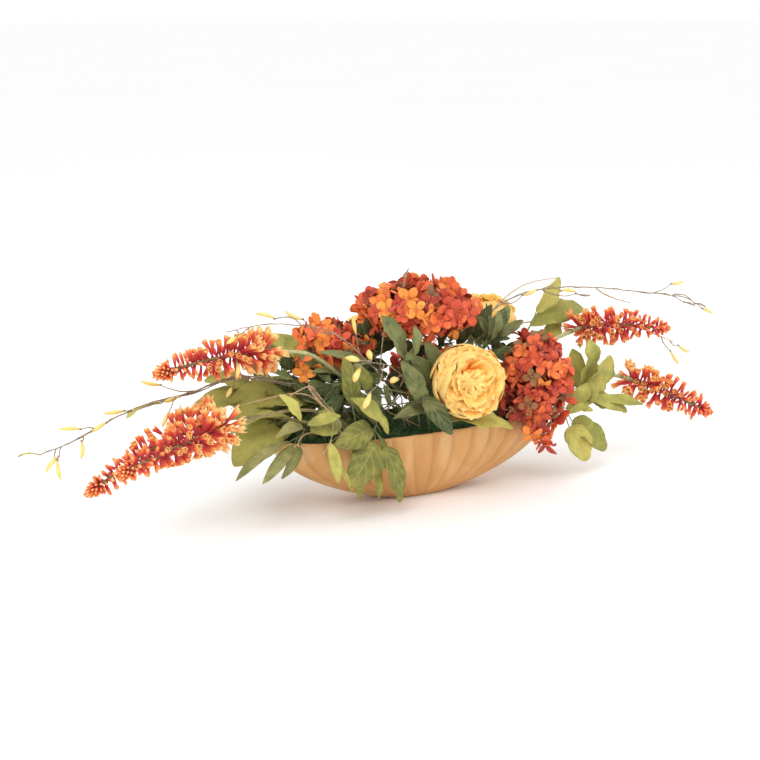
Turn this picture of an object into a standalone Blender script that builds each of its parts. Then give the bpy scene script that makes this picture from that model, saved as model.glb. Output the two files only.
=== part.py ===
"""Floral table centerpiece: an artificial arrangement built together with its fluted boat bowl.

Metres, +Z up. The origin is the centre of the bowl's flat foot, +X runs along the bowl and -Y is the
front of the arrangement. Places in the layout below are in millimetres and pass through vec().
"""
import math
import random

import bmesh
import bpy
from mathutils import Matrix, Vector

MM = 0.001

# ---- driving dimensions, metres -------------------------------------------------------------
BOWL_HALF_LENGTH = 0.215
BOWL_HALF_WIDTH = 0.075
BOWL_HEIGHT = 0.098
FOOT_HALF_LENGTH = 0.050
FOOT_HALF_WIDTH = 0.024
BOWL_WALL = 0.003
BOWL_OVAL_POWER = 2.3           # superellipse power of the plan, 2 would be a plain ellipse
BOWL_SWELL_POWER = 1.2          # the larger, the faster the bowl widens above its foot
BOWL_LEVELS = (0.0, 0.12, 0.34, 0.64, 1.0)
BOWL_FLUTES = 32
OVAL_SAMPLES = 4000             # fine steps for spacing the flutes evenly
FLUTE_DEPTH = 0.0022
FLUTE_FOOT_SHARE = 0.25         # depth of a flute at the foot, as a share of its depth at the rim

FOAM_TOP = 0.082
FOAM_SIDES = 20
MOSS_TOP = 0.0905
MOSS_EDGE = 0.0045              # height of the moss mat's upright edge
MOSS_TOP_SHARE = 0.88           # extent of the mat's flat top
MOSS_UNEVEN = 0.03              # how much that extent wanders
MOSS_SIDES = 24
FILL_GAP = 0.0003               # between bowl, foam and moss
FILL_CLEARANCE = 0.0062         # inwards and upwards from the bowl's outside to the filling
HOLE_CLEARANCE = 0.0003         # between a stem and its plain hole
HOLE_SIDES = 4
HOLE_OVERRUN = 0.004
SEAT_GAP = 0.0003               # between a stem's end and the neck of its flower

STEM_SIDES = 6
NECK_RISE = 0.006               # straight part of a flower's neck before it bends into the head
NECK_TAPER = 0.8

FLORET_RADIUS = 0.0212          # hydrangea floret, half of its spread
FLORET_MARGIN = 0.018           # a floret this near to the rim or to another head is left out
FLORET_SIZE_SPREAD = 0.06
FLORET_COLLAR_RADIUS = 0.0020
FLORET_STALK_RADIUS = 0.0016
HEAD_CORE_SHARE = 0.42          # size of the core inside a hydrangea head
HEAD_UNEVEN = (0.93, 1.03)      # florets stand this far out, as a share of the head's half size
FLORET_ROOT_SHARE = 0.30        # where their stalks start, inside the core
STEM_OPENING = 0.86             # cosine of the cone round the stem that stays free of florets

PEONY_RADIUS = 0.0505
PETAL_THICKNESS = 0.0012
PETAL_LAP = 1.12                # spread of a petal over its even share of the circle
PETAL_TILT = 0.0026             # one side of a petal stands out and the other in, so neighbours lap
PETAL_WAVE = 0.0014
PETAL_ROW_SPREADS = (0.2, 0.95, 1.0, 0.8)
PETAL_ROUNDING = 0.10           # how much a petal's corners lie below its middle
PETAL_FACE_SLOPE = -0.4         # slope of the direction in which a petal has its thickness

SPIKE_RADIUS = 0.0035           # olive core that the torch-lily florets stand on
SPIKE_TAPER = 0.7
SPIKE_POINTS = 5
SPIKE_BEND = 0.35               # how far the spike follows its stem's direction
TUBE_FLORET_LENGTH = 0.034      # the longest florets, at a spike's base
TUBE_FLORET_ROOT = 0.0016
TUBE_FLORET_MOUTH = 0.0052
TIP_FLORET_MOUTH = 0.0036

POD_LENGTH = 0.024
POD_RADIUS = 0.0031
POD_BELLY = 0.55                # place of a pod's widest part, as a share of its length
LONGEST_POD_SHARE = 0.7         # a pod is never more than this share of its twig
TWIG_RADIUS = 0.0009
TWIG_TAPER = 0.55

BLADE_THICKNESS = 0.0014
STALK_RADIUS = 0.0008
LEAF_FOLD = 0.22                # rise of a blade's edge over its midrib, as a share of its half width
LEAF_WAVE = 0.10
LEAF_ARCH = 0.08                # rise of a blade's middle, as a share of its length
NARROW_BELOW = 0.36             # a blade whose width is less than this share of its length is narrow

GOLDEN_ANGLE = math.pi * (3 - math.sqrt(5))
FLAT_ANGLE = math.radians(1.0)  # faces closer to one plane than this are merged after a union
SMALLEST_EDGE = 1e-6

# ---- layout, millimetres ----------------------------------------------------------------------
# Every stem starts with two points in its straight hole; the rest is a smooth curve.

# name: head centre, half sizes, florets, seed, stem radius, stem points
HYDRANGEAS = {
    "hydrangea_top": dict(
        centre=(2, 0, 251), half=(84, 84, 46), florets=28, seed=3, radius=3.0,
        stem=[(2, 6, 40), (2, 4, 100), (3, 2, 150), (2, 0, 212)]),
    "hydrangea_left": dict(
        centre=(-110, 36, 205), half=(58, 55, 41), florets=19, seed=5, radius=2.6,
        stem=[(-36, 8, 50), (-42, 12, 100), (-76, 26, 138), (-100, 33, 170)]),
    "hydrangea_right": dict(
        centre=(148, -60, 146), half=(58, 50, 78), florets=25, seed=8, radius=2.6,
        stem=[(66, -10, 50), (72, -14, 100), (94, -26, 126), (118, -42, 139)]),
    "hydrangea_back": dict(
        centre=(75, 94, 142), half=(56, 50, 46), florets=15, seed=11, radius=2.6,
        stem=[(42, 22, 50), (48, 30, 100), (60, 56, 118), (70, 76, 127)]),
}

# name: head centre, facing direction, petals to each layer, seed, stem radius, stem points
PEONIES = {
    "peony_front": dict(
        centre=(24, -90, 167), facing=(-0.26, -0.94, 0.21), layers=(7, 6, 5, 4, 3), seed=2, radius=2.8,
        stem=[(14, -18, 50), (18, -24, 100), (38, -36, 136), (34, -55, 158)]),
    "peony_left": dict(
        centre=(-27, 102, 189), facing=(-0.35, 0.5, 0.75), layers=(6, 5, 4), seed=4, radius=2.6,
        stem=[(-24, 28, 50), (-28, 34, 100), (-28, 64, 130), (-24, 84, 158)]),
    "peony_right": dict(
        centre=(168, 92, 203), facing=(0.3, 0.35, 0.8), layers=(6, 5, 4), seed=6, radius=2.6,
        stem=[(82, 24, 50), (90, 30, 100), (128, 60, 132), (156, 80, 172)]),
}

# name: tip of the spike, florets, seed, stem radius, stem points; the last one is the spike's base
TORCH_LILIES = {
    "torch_lily_left_high": dict(
        tip=(-392, -54, 215), florets=27, seed=1, radius=3.2,
        stem=[(-52, 2, 48), (-62, 0, 100), (-110, -16, 162), (-171, -28, 210), (-232, -31, 222)]),
    "torch_lily_left_low": dict(
        tip=(-500, -100, 95), florets=27, seed=2, radius=2.8,
        stem=[(-112, -12, 60), (-136, -16, 100), (-190, -24, 126), (-245, -32, 140), (-314, -42, 145)]),
    "torch_lily_left_front": dict(
        tip=(-490, -176, 134), florets=27, seed=3, radius=2.8,
        stem=[(-96, -30, 56), (-114, -36, 100), (-160, -58, 137), (-235, -88, 158), (-326, -112, 155)]),
    "torch_lily_right_high": dict(
        tip=(480, 60, 169), florets=25, seed=4, radius=2.8,
        stem=[(98, 8, 50), (110, 10, 100), (166, 12, 142), (226, 20, 176), (278, 30, 188)]),
    "torch_lily_right_low": dict(
        tip=(498, -20, 55), florets=25, seed=5, radius=2.8,
        stem=[(118, 0, 52), (132, 2, 100), (206, 4, 124), (288, 4, 135), (348, 0, 120)]),
}

# Twigs: main stem radius and points, leaves, then side twigs from the main stem to their pod's tip
SPRAYS = {
    "spray_left_long": dict(
        radius=1.9,
        stem=[(-48, -8, 52), (-64, -10, 100), (-118, -4, 142), (-174, 0, 166), (-270, 0, 186),
              (-324, -10, 178), (-375, -20, 172), (-440, -34, 163), (-502, -50, 144), (-532, -57, 139)],
        leaves=[dict(at=0.63, root=(-376, -22, 170), tip=(-430, -44, 162), width=17, up=(0, 0.4, 1)),
                dict(at=1.0, root=(-544, -62, 137), tip=(-574, -70, 141), width=7)],
        pods=[((-324, -10, 178), (-394, -2, 196)), ((-350, -15, 175), (-388, -52, 148)),
              ((-440, -34, 163), (-476, -42, 150)), ((-408, -26, 168), (-450, -20, 166)),
              ((-488, -46, 149), (-494, -58, 124)), ((-502, -50, 144), (-540, -66, 116)),
              ((-520, -55, 140), (-526, -78, 108)), ((-470, -41, 155), (-512, -38, 158))]),
    "spray_left_arc": dict(
        radius=1.3,
        stem=[(-26, -22, 50), (-32, -28, 100), (-74, -46, 168), (-117, -52, 213), (-150, -48, 240),
              (-190, -38, 252), (-236, -22, 255), (-282, -12, 248)],
        leaves=[],
        pods=[((-190, -38, 252), (-250, -30, 271)), ((-150, -48, 240), (-206, -22, 270)),
              ((-117, -52, 213), (-128, -58, 262))]),
    "spray_right_long": dict(
        radius=1.9,
        stem=[(58, 22, 50), (66, 26, 100), (104, 22, 170), (134, 30, 222), (193, 40, 247), (272, 50, 250),
              (346, 50, 243), (416, 50, 232), (489, 50, 219)],
        leaves=[],
        pods=[((232, 45, 250), (290, 52, 257)), ((163, 34, 236), (222, 36, 254)),
              ((416, 50, 232), (506, 56, 240)), ((480, 50, 221), (556, 44, 184)),
              ((489, 50, 219), (560, 56, 204)), ((452, 50, 226), (528, 52, 191)),
              ((346, 50, 243), (392, 40, 224))]),
    "spray_middle": dict(
        radius=1.2,
        stem=[(-12, -32, 50), (-16, -38, 100), (-40, -58, 156), (-78, -74, 192), (-112, -82, 204),
              (-146, -88, 205)],
        leaves=[],
        pods=[((-112, -82, 204), (-160, -96, 218)), ((-129, -85, 205), (-152, -104, 188)),
              ((-95, -78, 199), (-140, -104, 152)), ((-59, -67, 176), (-92, -92, 178))]),
    "spray_rim_curl": dict(
        radius=1.1,
        stem=[(-124, -34, 60), (-134, -38, 100), (-168, -46, 152), (-192, -76, 176), (-190, -94, 166),
              (-172, -98, 142), (-166, -98, 116)],
        leaves=[],
        pods=[]),
    "spray_back": dict(
        radius=1.4,
        stem=[(-60, 22, 50), (-68, 28, 100), (-96, 66, 124), (-130, 108, 140), (-176, 132, 140)],
        leaves=[dict(at=0.8, root=(-140, 114, 138), tip=(-160, 148, 122), width=18)],
        pods=[((-130, 108, 140), (-176, 116, 158)), ((-152, 120, 141), (-170, 150, 130)),
              ((-113, 87, 133), (-136, 122, 120))]),
}

# Leafy stems: stem points, then each leaf's place on the stem, blade root, tip and width
LEAFY_STEMS = {
    "leaves_sage_rim": dict(
        radius=1.6, colour="leaf_sage",
        stem=[(-142, -24, 62), (-154, -28, 100), (-182, -38, 111), (-206, -48, 110)],
        leaves=[dict(at=1.0, root=(-216, -52, 108), tip=(-312, -98, 86), width=17, up=(0, -0.5, 1)),
                dict(at=0.9, root=(-213, -56, 104), tip=(-274, -90, 69), width=16, up=(0.1, -0.8, 0.8)),
                dict(at=0.8, root=(-203, -56, 104), tip=(-240, -80, 70), width=15, up=(0.2, -1, 0.5))]),
    "leaves_left_low": dict(
        radius=1.8, colour="leaf_olive",
        stem=[(-118, 10, 60), (-136, 12, 100), (-180, 6, 118), (-205, -4, 122)],
        leaves=[dict(at=1.0, root=(-212, -8, 118), tip=(-284, -30, 80), width=56, up=(-0.3, -0.7, 0.7)),
                dict(at=0.9, root=(-200, 0, 126), tip=(-276, -6, 140), width=24, up=(0, -0.4, 1)),
                dict(at=0.8, root=(-196, 14, 116), tip=(-262, 44, 96), width=40, up=(-0.3, 0.4, 0.9))]),
    "leaves_left_mid": dict(
        radius=1.8, colour="leaf_olive",
        stem=[(-86, 20, 55), (-100, 24, 100), (-138, 22, 134), (-172, 16, 150), (-214, 16, 160)],
        leaves=[dict(at=0.74, root=(-178, 16, 160), tip=(-270, 8, 152), width=44, up=(-0.1, -0.9, 0.6)),
                dict(at=1.0, root=(-234, 22, 160), tip=(-322, 20, 144), width=30, up=(0, -0.7, 0.8)),
                dict(at=0.9, root=(-230, 32, 166), tip=(-292, 34, 180), width=32, up=(0, -0.6, 0.8)),
                dict(at=0.64, root=(-170, 40, 156), tip=(-236, 80, 150), width=40, up=(0, 0.3, 1)),
                dict(at=0.9, root=(-167, 12, 205), tip=(-220, 4, 234), width=27, up=(0.1, -0.9, 0.4))]),
    "leaves_left_high": dict(
        radius=1.6, colour="leaf_dark",
        stem=[(-66, 34, 55), (-76, 40, 100), (-112, 50, 120), (-156, 46, 146), (-186, 28, 182)],
        leaves=[dict(at=1.0, root=(-188, 26, 196), tip=(-222, 34, 234), width=32, up=(0.2, -0.8, 0.5)),
                dict(at=0.92, root=(-184, 10, 176), tip=(-206, -8, 182), width=20, up=(0, -0.7, 0.7)),
                dict(at=0.7, root=(-152, 70, 156), tip=(-186, 108, 166), width=30, up=(0, 0.4, 0.9))]),
    "leaves_front_heart": dict(
        radius=1.6, colour="leaf_olive",
        stem=[(-70, -36, 55), (-80, -44, 100), (-98, -64, 116), (-108, -78, 112)],
        leaves=[dict(at=0.94, root=(-116, -84, 120), tip=(-174, -92, 106), width=34, up=(0, -1, 0.3)),
                dict(at=1.0, root=(-112, -88, 100), tip=(-158, -100, 52), width=46, up=(-0.2, -1, 0.2)),
                dict(at=0.86, root=(-99, -88, 94), tip=(-82, -98, 20), width=32, up=(0.3, -1, 0.1)),
                dict(at=0.6, root=(-96, -66, 128), tip=(-130, -62, 160), width=26, up=(0.5, -0.9, 0.3)),
                dict(at=0.5, root=(-130, -62, 150), tip=(-144, -66, 212), width=23, up=(-0.3, -1, 0))]),
    "leaves_front_narrow": dict(
        radius=1.5, colour="leaf_pale",
        stem=[(-92, -50, 62), (-104, -54, 100), (-130, -70, 118), (-160, -80, 126)],
        leaves=[dict(at=1.0, root=(-218, -84, 144), tip=(-248, -90, 179), width=12, up=(0.5, -1, 0.3)),
                dict(at=0.8, root=(-211, -87, 140), tip=(-178, -95, 148), width=12, up=(0, -0.8, 0.6)),
                dict(at=0.9, root=(-163, -84, 137), tip=(-208, -94, 131), width=35, up=(-0.1, -0.9, 0.5)),
                dict(at=0.6, root=(-143, -78, 161), tip=(-94, -92, 111), width=20, up=(0.2, -0.8, 0.6)),
                dict(at=0.82, root=(-182, -96, 112), tip=(-174, -104, 60), width=16, up=(-0.2, -1, 0)),
                dict(at=0.7, root=(-132, -84, 92), tip=(-140, -92, 30), width=14, up=(0, -1, 0)),
                dict(at=0.56, root=(-116, -80, 88), tip=(-106, -90, 26), width=13, up=(0.1, -1, 0))]),
    "leaves_middle_dark": dict(
        radius=1.6, colour="leaf_dark",
        stem=[(0, -34, 50), (-4, -42, 100), (-26, -58, 146), (-46, -62, 184)],
        leaves=[dict(at=1.0, root=(-54, -64, 200), tip=(-98, -76, 262), width=30, up=(0.4, -1, 0.3)),
                dict(at=0.92, root=(-48, -76, 204), tip=(-58, -94, 248), width=17, up=(0.2, -1, 0.3)),
                dict(at=0.8, root=(-38, -84, 152), tip=(-12, -112, 104), width=24, up=(-0.3, -1, 0.3)),
                dict(at=0.8, root=(-34, -78, 143), tip=(-68, -80, 201), width=19, up=(-0.2, -1, 0.2)),
                dict(at=0.75, root=(-5, -54, 164), tip=(-43, -58, 202), width=23, up=(-0.2, -1, 0.2)),
                dict(at=0.36, root=(6, -68, 112), tip=(76, -118, 102), width=30, up=(0, -0.5, 1)),
                dict(at=0.6, root=(-34, -34, 138), tip=(-60, 4, 162), width=22, up=(0, 0.3, 1))]),
    "leaves_middle_green": dict(
        radius=1.5, colour="leaf_dark",
        stem=[(46, -8, 50), (54, -6, 100), (76, -10, 150), (84, -22, 186)],
        leaves=[dict(at=0.92, root=(84, -46, 208), tip=(62, -80, 250), width=17, up=(0.2, -1, 0.2)),
                dict(at=1.0, root=(94, -40, 206), tip=(92, -62, 248), width=18, up=(0.2, -1, 0.1)),
                dict(at=0.84, root=(106, -14, 204), tip=(146, 2, 238), width=20, up=(0, -0.9, 0.4)),
                dict(at=0.72, root=(84, -48, 184), tip=(98, -88, 200), width=18, up=(0, -0.7, 0.7))]),
    "leaves_right_high": dict(
        radius=1.8, colour="leaf_pale",
        stem=[(112, 28, 56), (126, 32, 100), (168, 40, 146), (208, 42, 188)],
        leaves=[dict(at=1.0, root=(240, 62, 216), tip=(294, 80, 259), width=27, up=(0.3, -0.9, 0.2)),
                dict(at=0.9, root=(229, 62, 196), tip=(348, 88, 213), width=36, up=(-0.2, -0.8, 0.7)),
                dict(at=0.78, root=(214, 58, 168), tip=(290, 84, 178), width=34, up=(0, 0.2, 1)),
                dict(at=0.8, root=(250, 60, 168), tip=(290, 70, 198), width=27, up=(-0.3, -0.9, 0.2))]),
    "leaves_right_mid": dict(
        radius=1.8, colour="leaf_pale",
        stem=[(138, -14, 62), (152, -14, 100), (200, -14, 110), (256, -14, 106)],
        leaves=[dict(at=1.0, root=(268, -16, 122), tip=(282, -16, 184), width=36, up=(0.3, -1, 0)),
                dict(at=0.93, root=(276, -22, 116), tip=(308, -28, 160), width=38, up=(0.3, -1, 0)),
                dict(at=0.78, root=(254, -20, 98), tip=(276, -42, 124), width=26, up=(0, -1, 0.5)),
                dict(at=0.86, root=(278, -14, 102), tip=(320, -22, 82), width=26, up=(0, -0.8, 0.7)),
                dict(at=0.68, root=(292, -22, 98), tip=(364, -34, 84), width=14, up=(0, -0.8, 0.6)),
                dict(at=0.85, root=(272, 0, 114), tip=(261, 2, 170), width=27, up=(-0.2, -1, 0.1))]),
    "leaves_right_low": dict(
        radius=1.7, colour="leaf_pale",
        stem=[(154, -24, 66), (171, -24, 100), (204, -28, 104), (224, -38, 90)],
        leaves=[dict(at=1.0, root=(234, -38, 76), tip=(288, -50, 30), width=38, up=(0.3, -1, 0.3)),
                dict(at=0.9, root=(226, -42, 70), tip=(246, -60, 22), width=40, up=(-0.1, -1, 0.3)),
                dict(at=0.78, root=(232, -26, 92), tip=(270, -40, 88), width=18, up=(0, -0.6, 0.8))]),
    "leaves_back_left": dict(
        radius=1.8, colour="leaf_olive",
        stem=[(-92, 34, 58), (-104, 40, 100), (-126, 66, 112), (-142, 84, 108)],
        leaves=[dict(at=1.0, root=(-152, 92, 100), tip=(-196, 108, 60), width=40, up=(-0.4, 0.8, 0.4)),
                dict(at=0.9, root=(-142, 98, 96), tip=(-138, 122, 44), width=38, up=(0, 1, 0.3)),
                dict(at=0.7, root=(-112, 84, 104), tip=(-92, 108, 66), width=30, up=(0.2, 1, 0.4)),
                dict(at=0.8, root=(-146, 72, 112), tip=(-204, 76, 104), width=34, up=(-0.2, 0.4, 1))]),
    "leaves_back_mid": dict(
        radius=1.7, colour="leaf_dark",
        stem=[(6, 42, 58), (8, 50, 100), (8, 70, 106), (6, 84, 100)],
        leaves=[dict(at=0.9, root=(0, 92, 92), tip=(-32, 112, 46), width=36, up=(-0.2, 1, 0.3)),
                dict(at=1.0, root=(14, 92, 92), tip=(44, 116, 50), width=36, up=(0.2, 1, 0.3)),
                dict(at=0.7, root=(-8, 78, 104), tip=(-62, 108, 84), width=30, up=(0, 0.7, 0.8))]),
    "leaves_back_right": dict(
        radius=1.8, colour="leaf_olive",
        stem=[(120, 34, 62), (132, 40, 100), (154, 58, 110), (172, 76, 108)],
        leaves=[dict(at=1.0, root=(184, 82, 102), tip=(236, 96, 70), width=38, up=(0.4, 0.7, 0.5)),
                dict(at=0.9, root=(172, 88, 98), tip=(168, 112, 48), width=36, up=(0, 1, 0.3)),
                dict(at=0.7, root=(154, 74, 104), tip=(134, 106, 78), width=28, up=(-0.1, 1, 0.5)),
                dict(at=0.8, root=(182, 64, 112), tip=(240, 60, 118), width=32, up=(0, 0.2, 1))]),
}

COLOURS = {
    "bowl": ((0.62, 0.38, 0.17), 0.42, 0.75),
    "foam": ((0.10, 0.16, 0.06), 0.95, 0.0),
    "moss": ((0.03, 0.11, 0.04), 0.95, 0.0),
    "hydrangea": ((0.60, 0.10, 0.04), 0.75, 0.0),
    "peony": ((0.85, 0.55, 0.16), 0.75, 0.0),
    "torch_lily": ((0.78, 0.19, 0.05), 0.70, 0.0),
    "stem": ((0.22, 0.25, 0.08), 0.60, 0.0),
    "twig": ((0.22, 0.15, 0.09), 0.75, 0.0),
    "leaf_olive": ((0.20, 0.24, 0.06), 0.65, 0.0),
    "leaf_pale": ((0.34, 0.38, 0.13), 0.65, 0.0),
    "leaf_sage": ((0.20, 0.27, 0.16), 0.65, 0.0),
    "leaf_dark": ((0.08, 0.15, 0.06), 0.60, 0.0),
}


# ---- small helpers ----------------------------------------------------------------------------
def vec(point):
    """A layout point in millimetres as a vector in metres."""
    return Vector(point) * MM


def clear_scene():
    for item in list(bpy.data.objects):
        bpy.data.objects.remove(item, do_unlink=True)


def make_materials():
    made = {}
    for name, (colour, roughness, metallic) in COLOURS.items():
        material = bpy.data.materials.new(name)
        material.use_nodes = True
        shader = material.node_tree.nodes["Principled BSDF"]
        shader.inputs["Base Color"].default_value = (*colour, 1.0)
        shader.inputs["Roughness"].default_value = roughness
        shader.inputs["Metallic"].default_value = metallic
        made[name] = material
    return made


def object_from(bm, name, collection):
    """Turn a bmesh into an object with its faces pointing out."""
    bmesh.ops.recalc_face_normals(bm, faces=bm.faces)
    mesh = bpy.data.meshes.new(name)
    bm.to_mesh(mesh)
    bm.free()
    made = bpy.data.objects.new(name, mesh)
    collection.objects.link(made)
    return made


def across(axis, hint):
    """Unit vector nearest to hint that is square to axis."""
    flat = hint - axis * hint.dot(axis)
    if flat.length < 1e-6:
        flat = axis.orthogonal()
    return flat.normalized()


def smooth_path(points, steps=3):
    """Points along a smooth curve; the first stretch, which stands in its hole, stays straight."""
    ends = points + [points[-1] * 2 - points[-2]]
    path = [points[0], points[1]]
    for i in range(1, len(points) - 1):
        a, b, c, d = ends[i - 1], ends[i], ends[i + 1], ends[i + 2]
        for k in range(1, steps + 1):
            t = k / steps
            path.append(0.5 * (2 * b + (c - a) * t + (2 * a - 5 * b + 4 * c - d) * t ** 2
                               + (3 * b - a - 3 * c + d) * t ** 3))
    return path


def mesh_of(source):
    """The mesh of an object as it is shown, with its modifiers or its bevel applied."""
    bpy.context.view_layer.update()
    return bpy.data.meshes.new_from_object(source.evaluated_get(bpy.context.evaluated_depsgraph_get()))


def tube(name, path, radii, sides, collection):
    """A bevelled curve turned into a mesh with welded caps; an even number of sides, 4 or more.

    radii holds one radius for each point, or the first and the last of an even taper.
    """
    if len(radii) != len(path):
        first, last = radii
        radii = [first + (last - first) * i / (len(path) - 1) for i in range(len(path))]
    curve = bpy.data.curves.new(name, "CURVE")
    curve.dimensions = "3D"
    curve.bevel_depth = max(radii)
    curve.bevel_resolution = (sides - 4) // 2
    curve.use_fill_caps = True
    spline = curve.splines.new("POLY")
    spline.points.add(len(path) - 1)
    for point, place, radius in zip(spline.points, path, radii):
        point.co = (*place, 1.0)
        point.radius = radius / curve.bevel_depth
    source = bpy.data.objects.new(name, curve)
    bpy.context.scene.collection.objects.link(source)
    bm = bmesh.new()
    bm.from_mesh(mesh_of(source))
    bpy.data.objects.remove(source)
    bmesh.ops.remove_doubles(bm, verts=bm.verts, dist=SMALLEST_EDGE)
    return object_from(bm, name, collection)


def cone(name, start, end, first_radius, last_radius, sides, collection):
    axis = end - start
    place = Matrix.Translation((start + end) / 2) @ axis.to_track_quat("Z", "X").to_matrix().to_4x4()
    bm = bmesh.new()
    bmesh.ops.create_cone(bm, cap_ends=True, segments=sides, radius1=first_radius, radius2=last_radius,
                          depth=axis.length, matrix=place)
    return object_from(bm, name, collection)


def bridge(bm, low, high):
    for i in range(len(low)):
        j = (i + 1) % len(low)
        bm.faces.new((low[i], low[j], high[j], high[i]))


def keep_largest_body(bm):
    """Drop loose scraps and the inner skins of sealed hollows that a union can leave."""
    unseen = set(bm.verts)
    bodies = []
    while unseen:
        stack = [unseen.pop()]
        body = set(stack)
        while stack:
            for edge in stack.pop().link_edges:
                for vert in edge.verts:
                    if vert in unseen:
                        unseen.remove(vert)
                        body.add(vert)
                        stack.append(vert)
        bodies.append(body)
    bodies.sort(key=len)
    scraps = [vert for body in bodies[:-1] for vert in body]
    bmesh.ops.delete(bm, geom=scraps, context="VERTS")


def merge_flat_faces(bm):
    bmesh.ops.dissolve_limit(bm, angle_limit=FLAT_ANGLE, use_dissolve_boundaries=False,
                             verts=bm.verts, edges=bm.edges, delimit=set())


def is_one_closed_body(bm):
    if any(len(edge.link_faces) != 2 for edge in bm.edges):
        return False
    if len({frozenset(edge.verts) for edge in bm.edges}) < len(bm.edges):
        return False
    return count_bodies(bm) == 1


def count_bodies(bm):
    """Number of bodies whose faces hang together across edges."""
    unseen = set(bm.faces)
    bodies = 0
    while unseen:
        bodies += 1
        stack = [unseen.pop()]
        while stack:
            for edge in stack.pop().edges:
                for face in edge.link_faces:
                    if face in unseen:
                        unseen.remove(face)
                        stack.append(face)
    return bodies


def fuse(name, pieces, collection, material):
    """Join overlapping pieces into one body with a single Boolean union."""
    others = bpy.data.collections.new(name + "_pieces")
    bpy.context.scene.collection.children.link(others)
    first = pieces[0]
    for piece in pieces[1:]:
        collection.objects.unlink(piece)
        others.objects.link(piece)
    union = first.modifiers.new("union", "BOOLEAN")
    union.operation = "UNION"
    union.operand_type = "COLLECTION"
    union.collection = others
    for solver, merging in (("EXACT", True), ("EXACT", False), ("MANIFOLD", True), ("MANIFOLD", False)):
        union.solver = solver
        bm = bmesh.new()
        bm.from_mesh(mesh_of(first))
        keep_largest_body(bm)
        if merging:
            merge_flat_faces(bm)
        bmesh.ops.triangulate(bm, faces=bm.faces)
        bmesh.ops.dissolve_degenerate(bm, dist=SMALLEST_EDGE, edges=bm.edges)
        if is_one_closed_body(bm):
            break
    for piece in pieces:
        bpy.data.objects.remove(piece)
    bpy.data.collections.remove(others)
    made = object_from(bm, name, collection)
    made.data.materials.clear()
    made.data.materials.append(material)
    return made


# ---- bowl, foam and moss ------------------------------------------------------------------------
def oval_point(angle):
    """A point of the unit oval that the bowl's plan follows."""
    power = 2.0 / BOWL_OVAL_POWER
    c, s = math.cos(angle), math.sin(angle)
    return math.copysign(abs(c) ** power, c), math.copysign(abs(s) ** power, s)


def even_oval(count):
    """Points round the unit oval whose places on the rim are the same distance apart."""
    dense = [oval_point(2 * math.pi * i / OVAL_SAMPLES) for i in range(OVAL_SAMPLES + 1)]
    travelled = [0.0]
    for (x0, y0), (x1, y1) in zip(dense, dense[1:]):
        step = math.hypot((x1 - x0) * BOWL_HALF_LENGTH, (y1 - y0) * BOWL_HALF_WIDTH)
        travelled.append(travelled[-1] + step)
    chosen, j = [], 0
    for i in range(count):
        while travelled[j] < travelled[-1] * i / count:
            j += 1
        chosen.append(dense[j])
    return chosen


def bowl_half_sizes(level):
    """Half length and half width of the bowl's outside at a level from 0, the foot, to 1, the rim."""
    grow = (1.0 - (1.0 - level) ** 2) ** (1.0 / BOWL_SWELL_POWER)
    return (FOOT_HALF_LENGTH + (BOWL_HALF_LENGTH - FOOT_HALF_LENGTH) * grow,
            FOOT_HALF_WIDTH + (BOWL_HALF_WIDTH - FOOT_HALF_WIDTH) * grow)


def make_bowl(collection, material):
    """Open fluted surface with a flat foot, thickened inwards by Solidify."""
    plan = even_oval(2 * BOWL_FLUTES)
    bm = bmesh.new()
    rings = []
    for level in BOWL_LEVELS:
        half_length, half_width = bowl_half_sizes(level)
        ring = []
        for i, (x, y) in enumerate(plan):
            flute = FLUTE_DEPTH * (FLUTE_FOOT_SHARE + (1 - FLUTE_FOOT_SHARE) * level) * (i % 2)
            ring.append(bm.verts.new((x * (half_length - flute), y * (half_width - flute),
                                      level * BOWL_HEIGHT)))
        rings.append(ring)
    for low, high in zip(rings, rings[1:]):
        for i in range(len(plan)):
            j = (i + 1) % len(plan)
            bm.faces.new((low[i], low[j], high[j], high[i]))
    bm.faces.new(list(reversed(rings[0])))
    mesh = bpy.data.meshes.new("bowl")
    bm.to_mesh(mesh)
    bm.free()
    bowl = bpy.data.objects.new("bowl", mesh)
    collection.objects.link(bowl)
    shell = bowl.modifiers.new("wall", "SOLIDIFY")
    shell.thickness = BOWL_WALL
    shell.offset = -1.0
    mesh.materials.append(material)
    return bowl


def fill_ring(bm, level, height, sides):
    """A ring of the filling: the bowl's outside at a level, a fixed clearance inwards."""
    half_length, half_width = bowl_half_sizes(level)
    ring = []
    for i in range(sides):
        x, y = oval_point(2 * math.pi * i / sides)
        ring.append(bm.verts.new((x * (half_length - FILL_CLEARANCE), y * (half_width - FILL_CLEARANCE),
                                  height)))
    return ring


def make_foam(collection):
    """Foam block that fills the bowl from its floor up to the moss."""
    bm = bmesh.new()
    rings = [fill_ring(bm, 0.0, BOWL_WALL + FILL_GAP, FOAM_SIDES)]
    for level in BOWL_LEVELS[1:-1]:
        rings.append(fill_ring(bm, level, level * BOWL_HEIGHT + FILL_CLEARANCE, FOAM_SIDES))
    rings.append(fill_ring(bm, (FOAM_TOP - FILL_CLEARANCE) / BOWL_HEIGHT, FOAM_TOP, FOAM_SIDES))
    for low, high in zip(rings, rings[1:]):
        bridge(bm, low, high)
    bm.faces.new(rings[0])
    bm.faces.new(rings[-1])
    return object_from(bm, "foam", collection)


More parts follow.
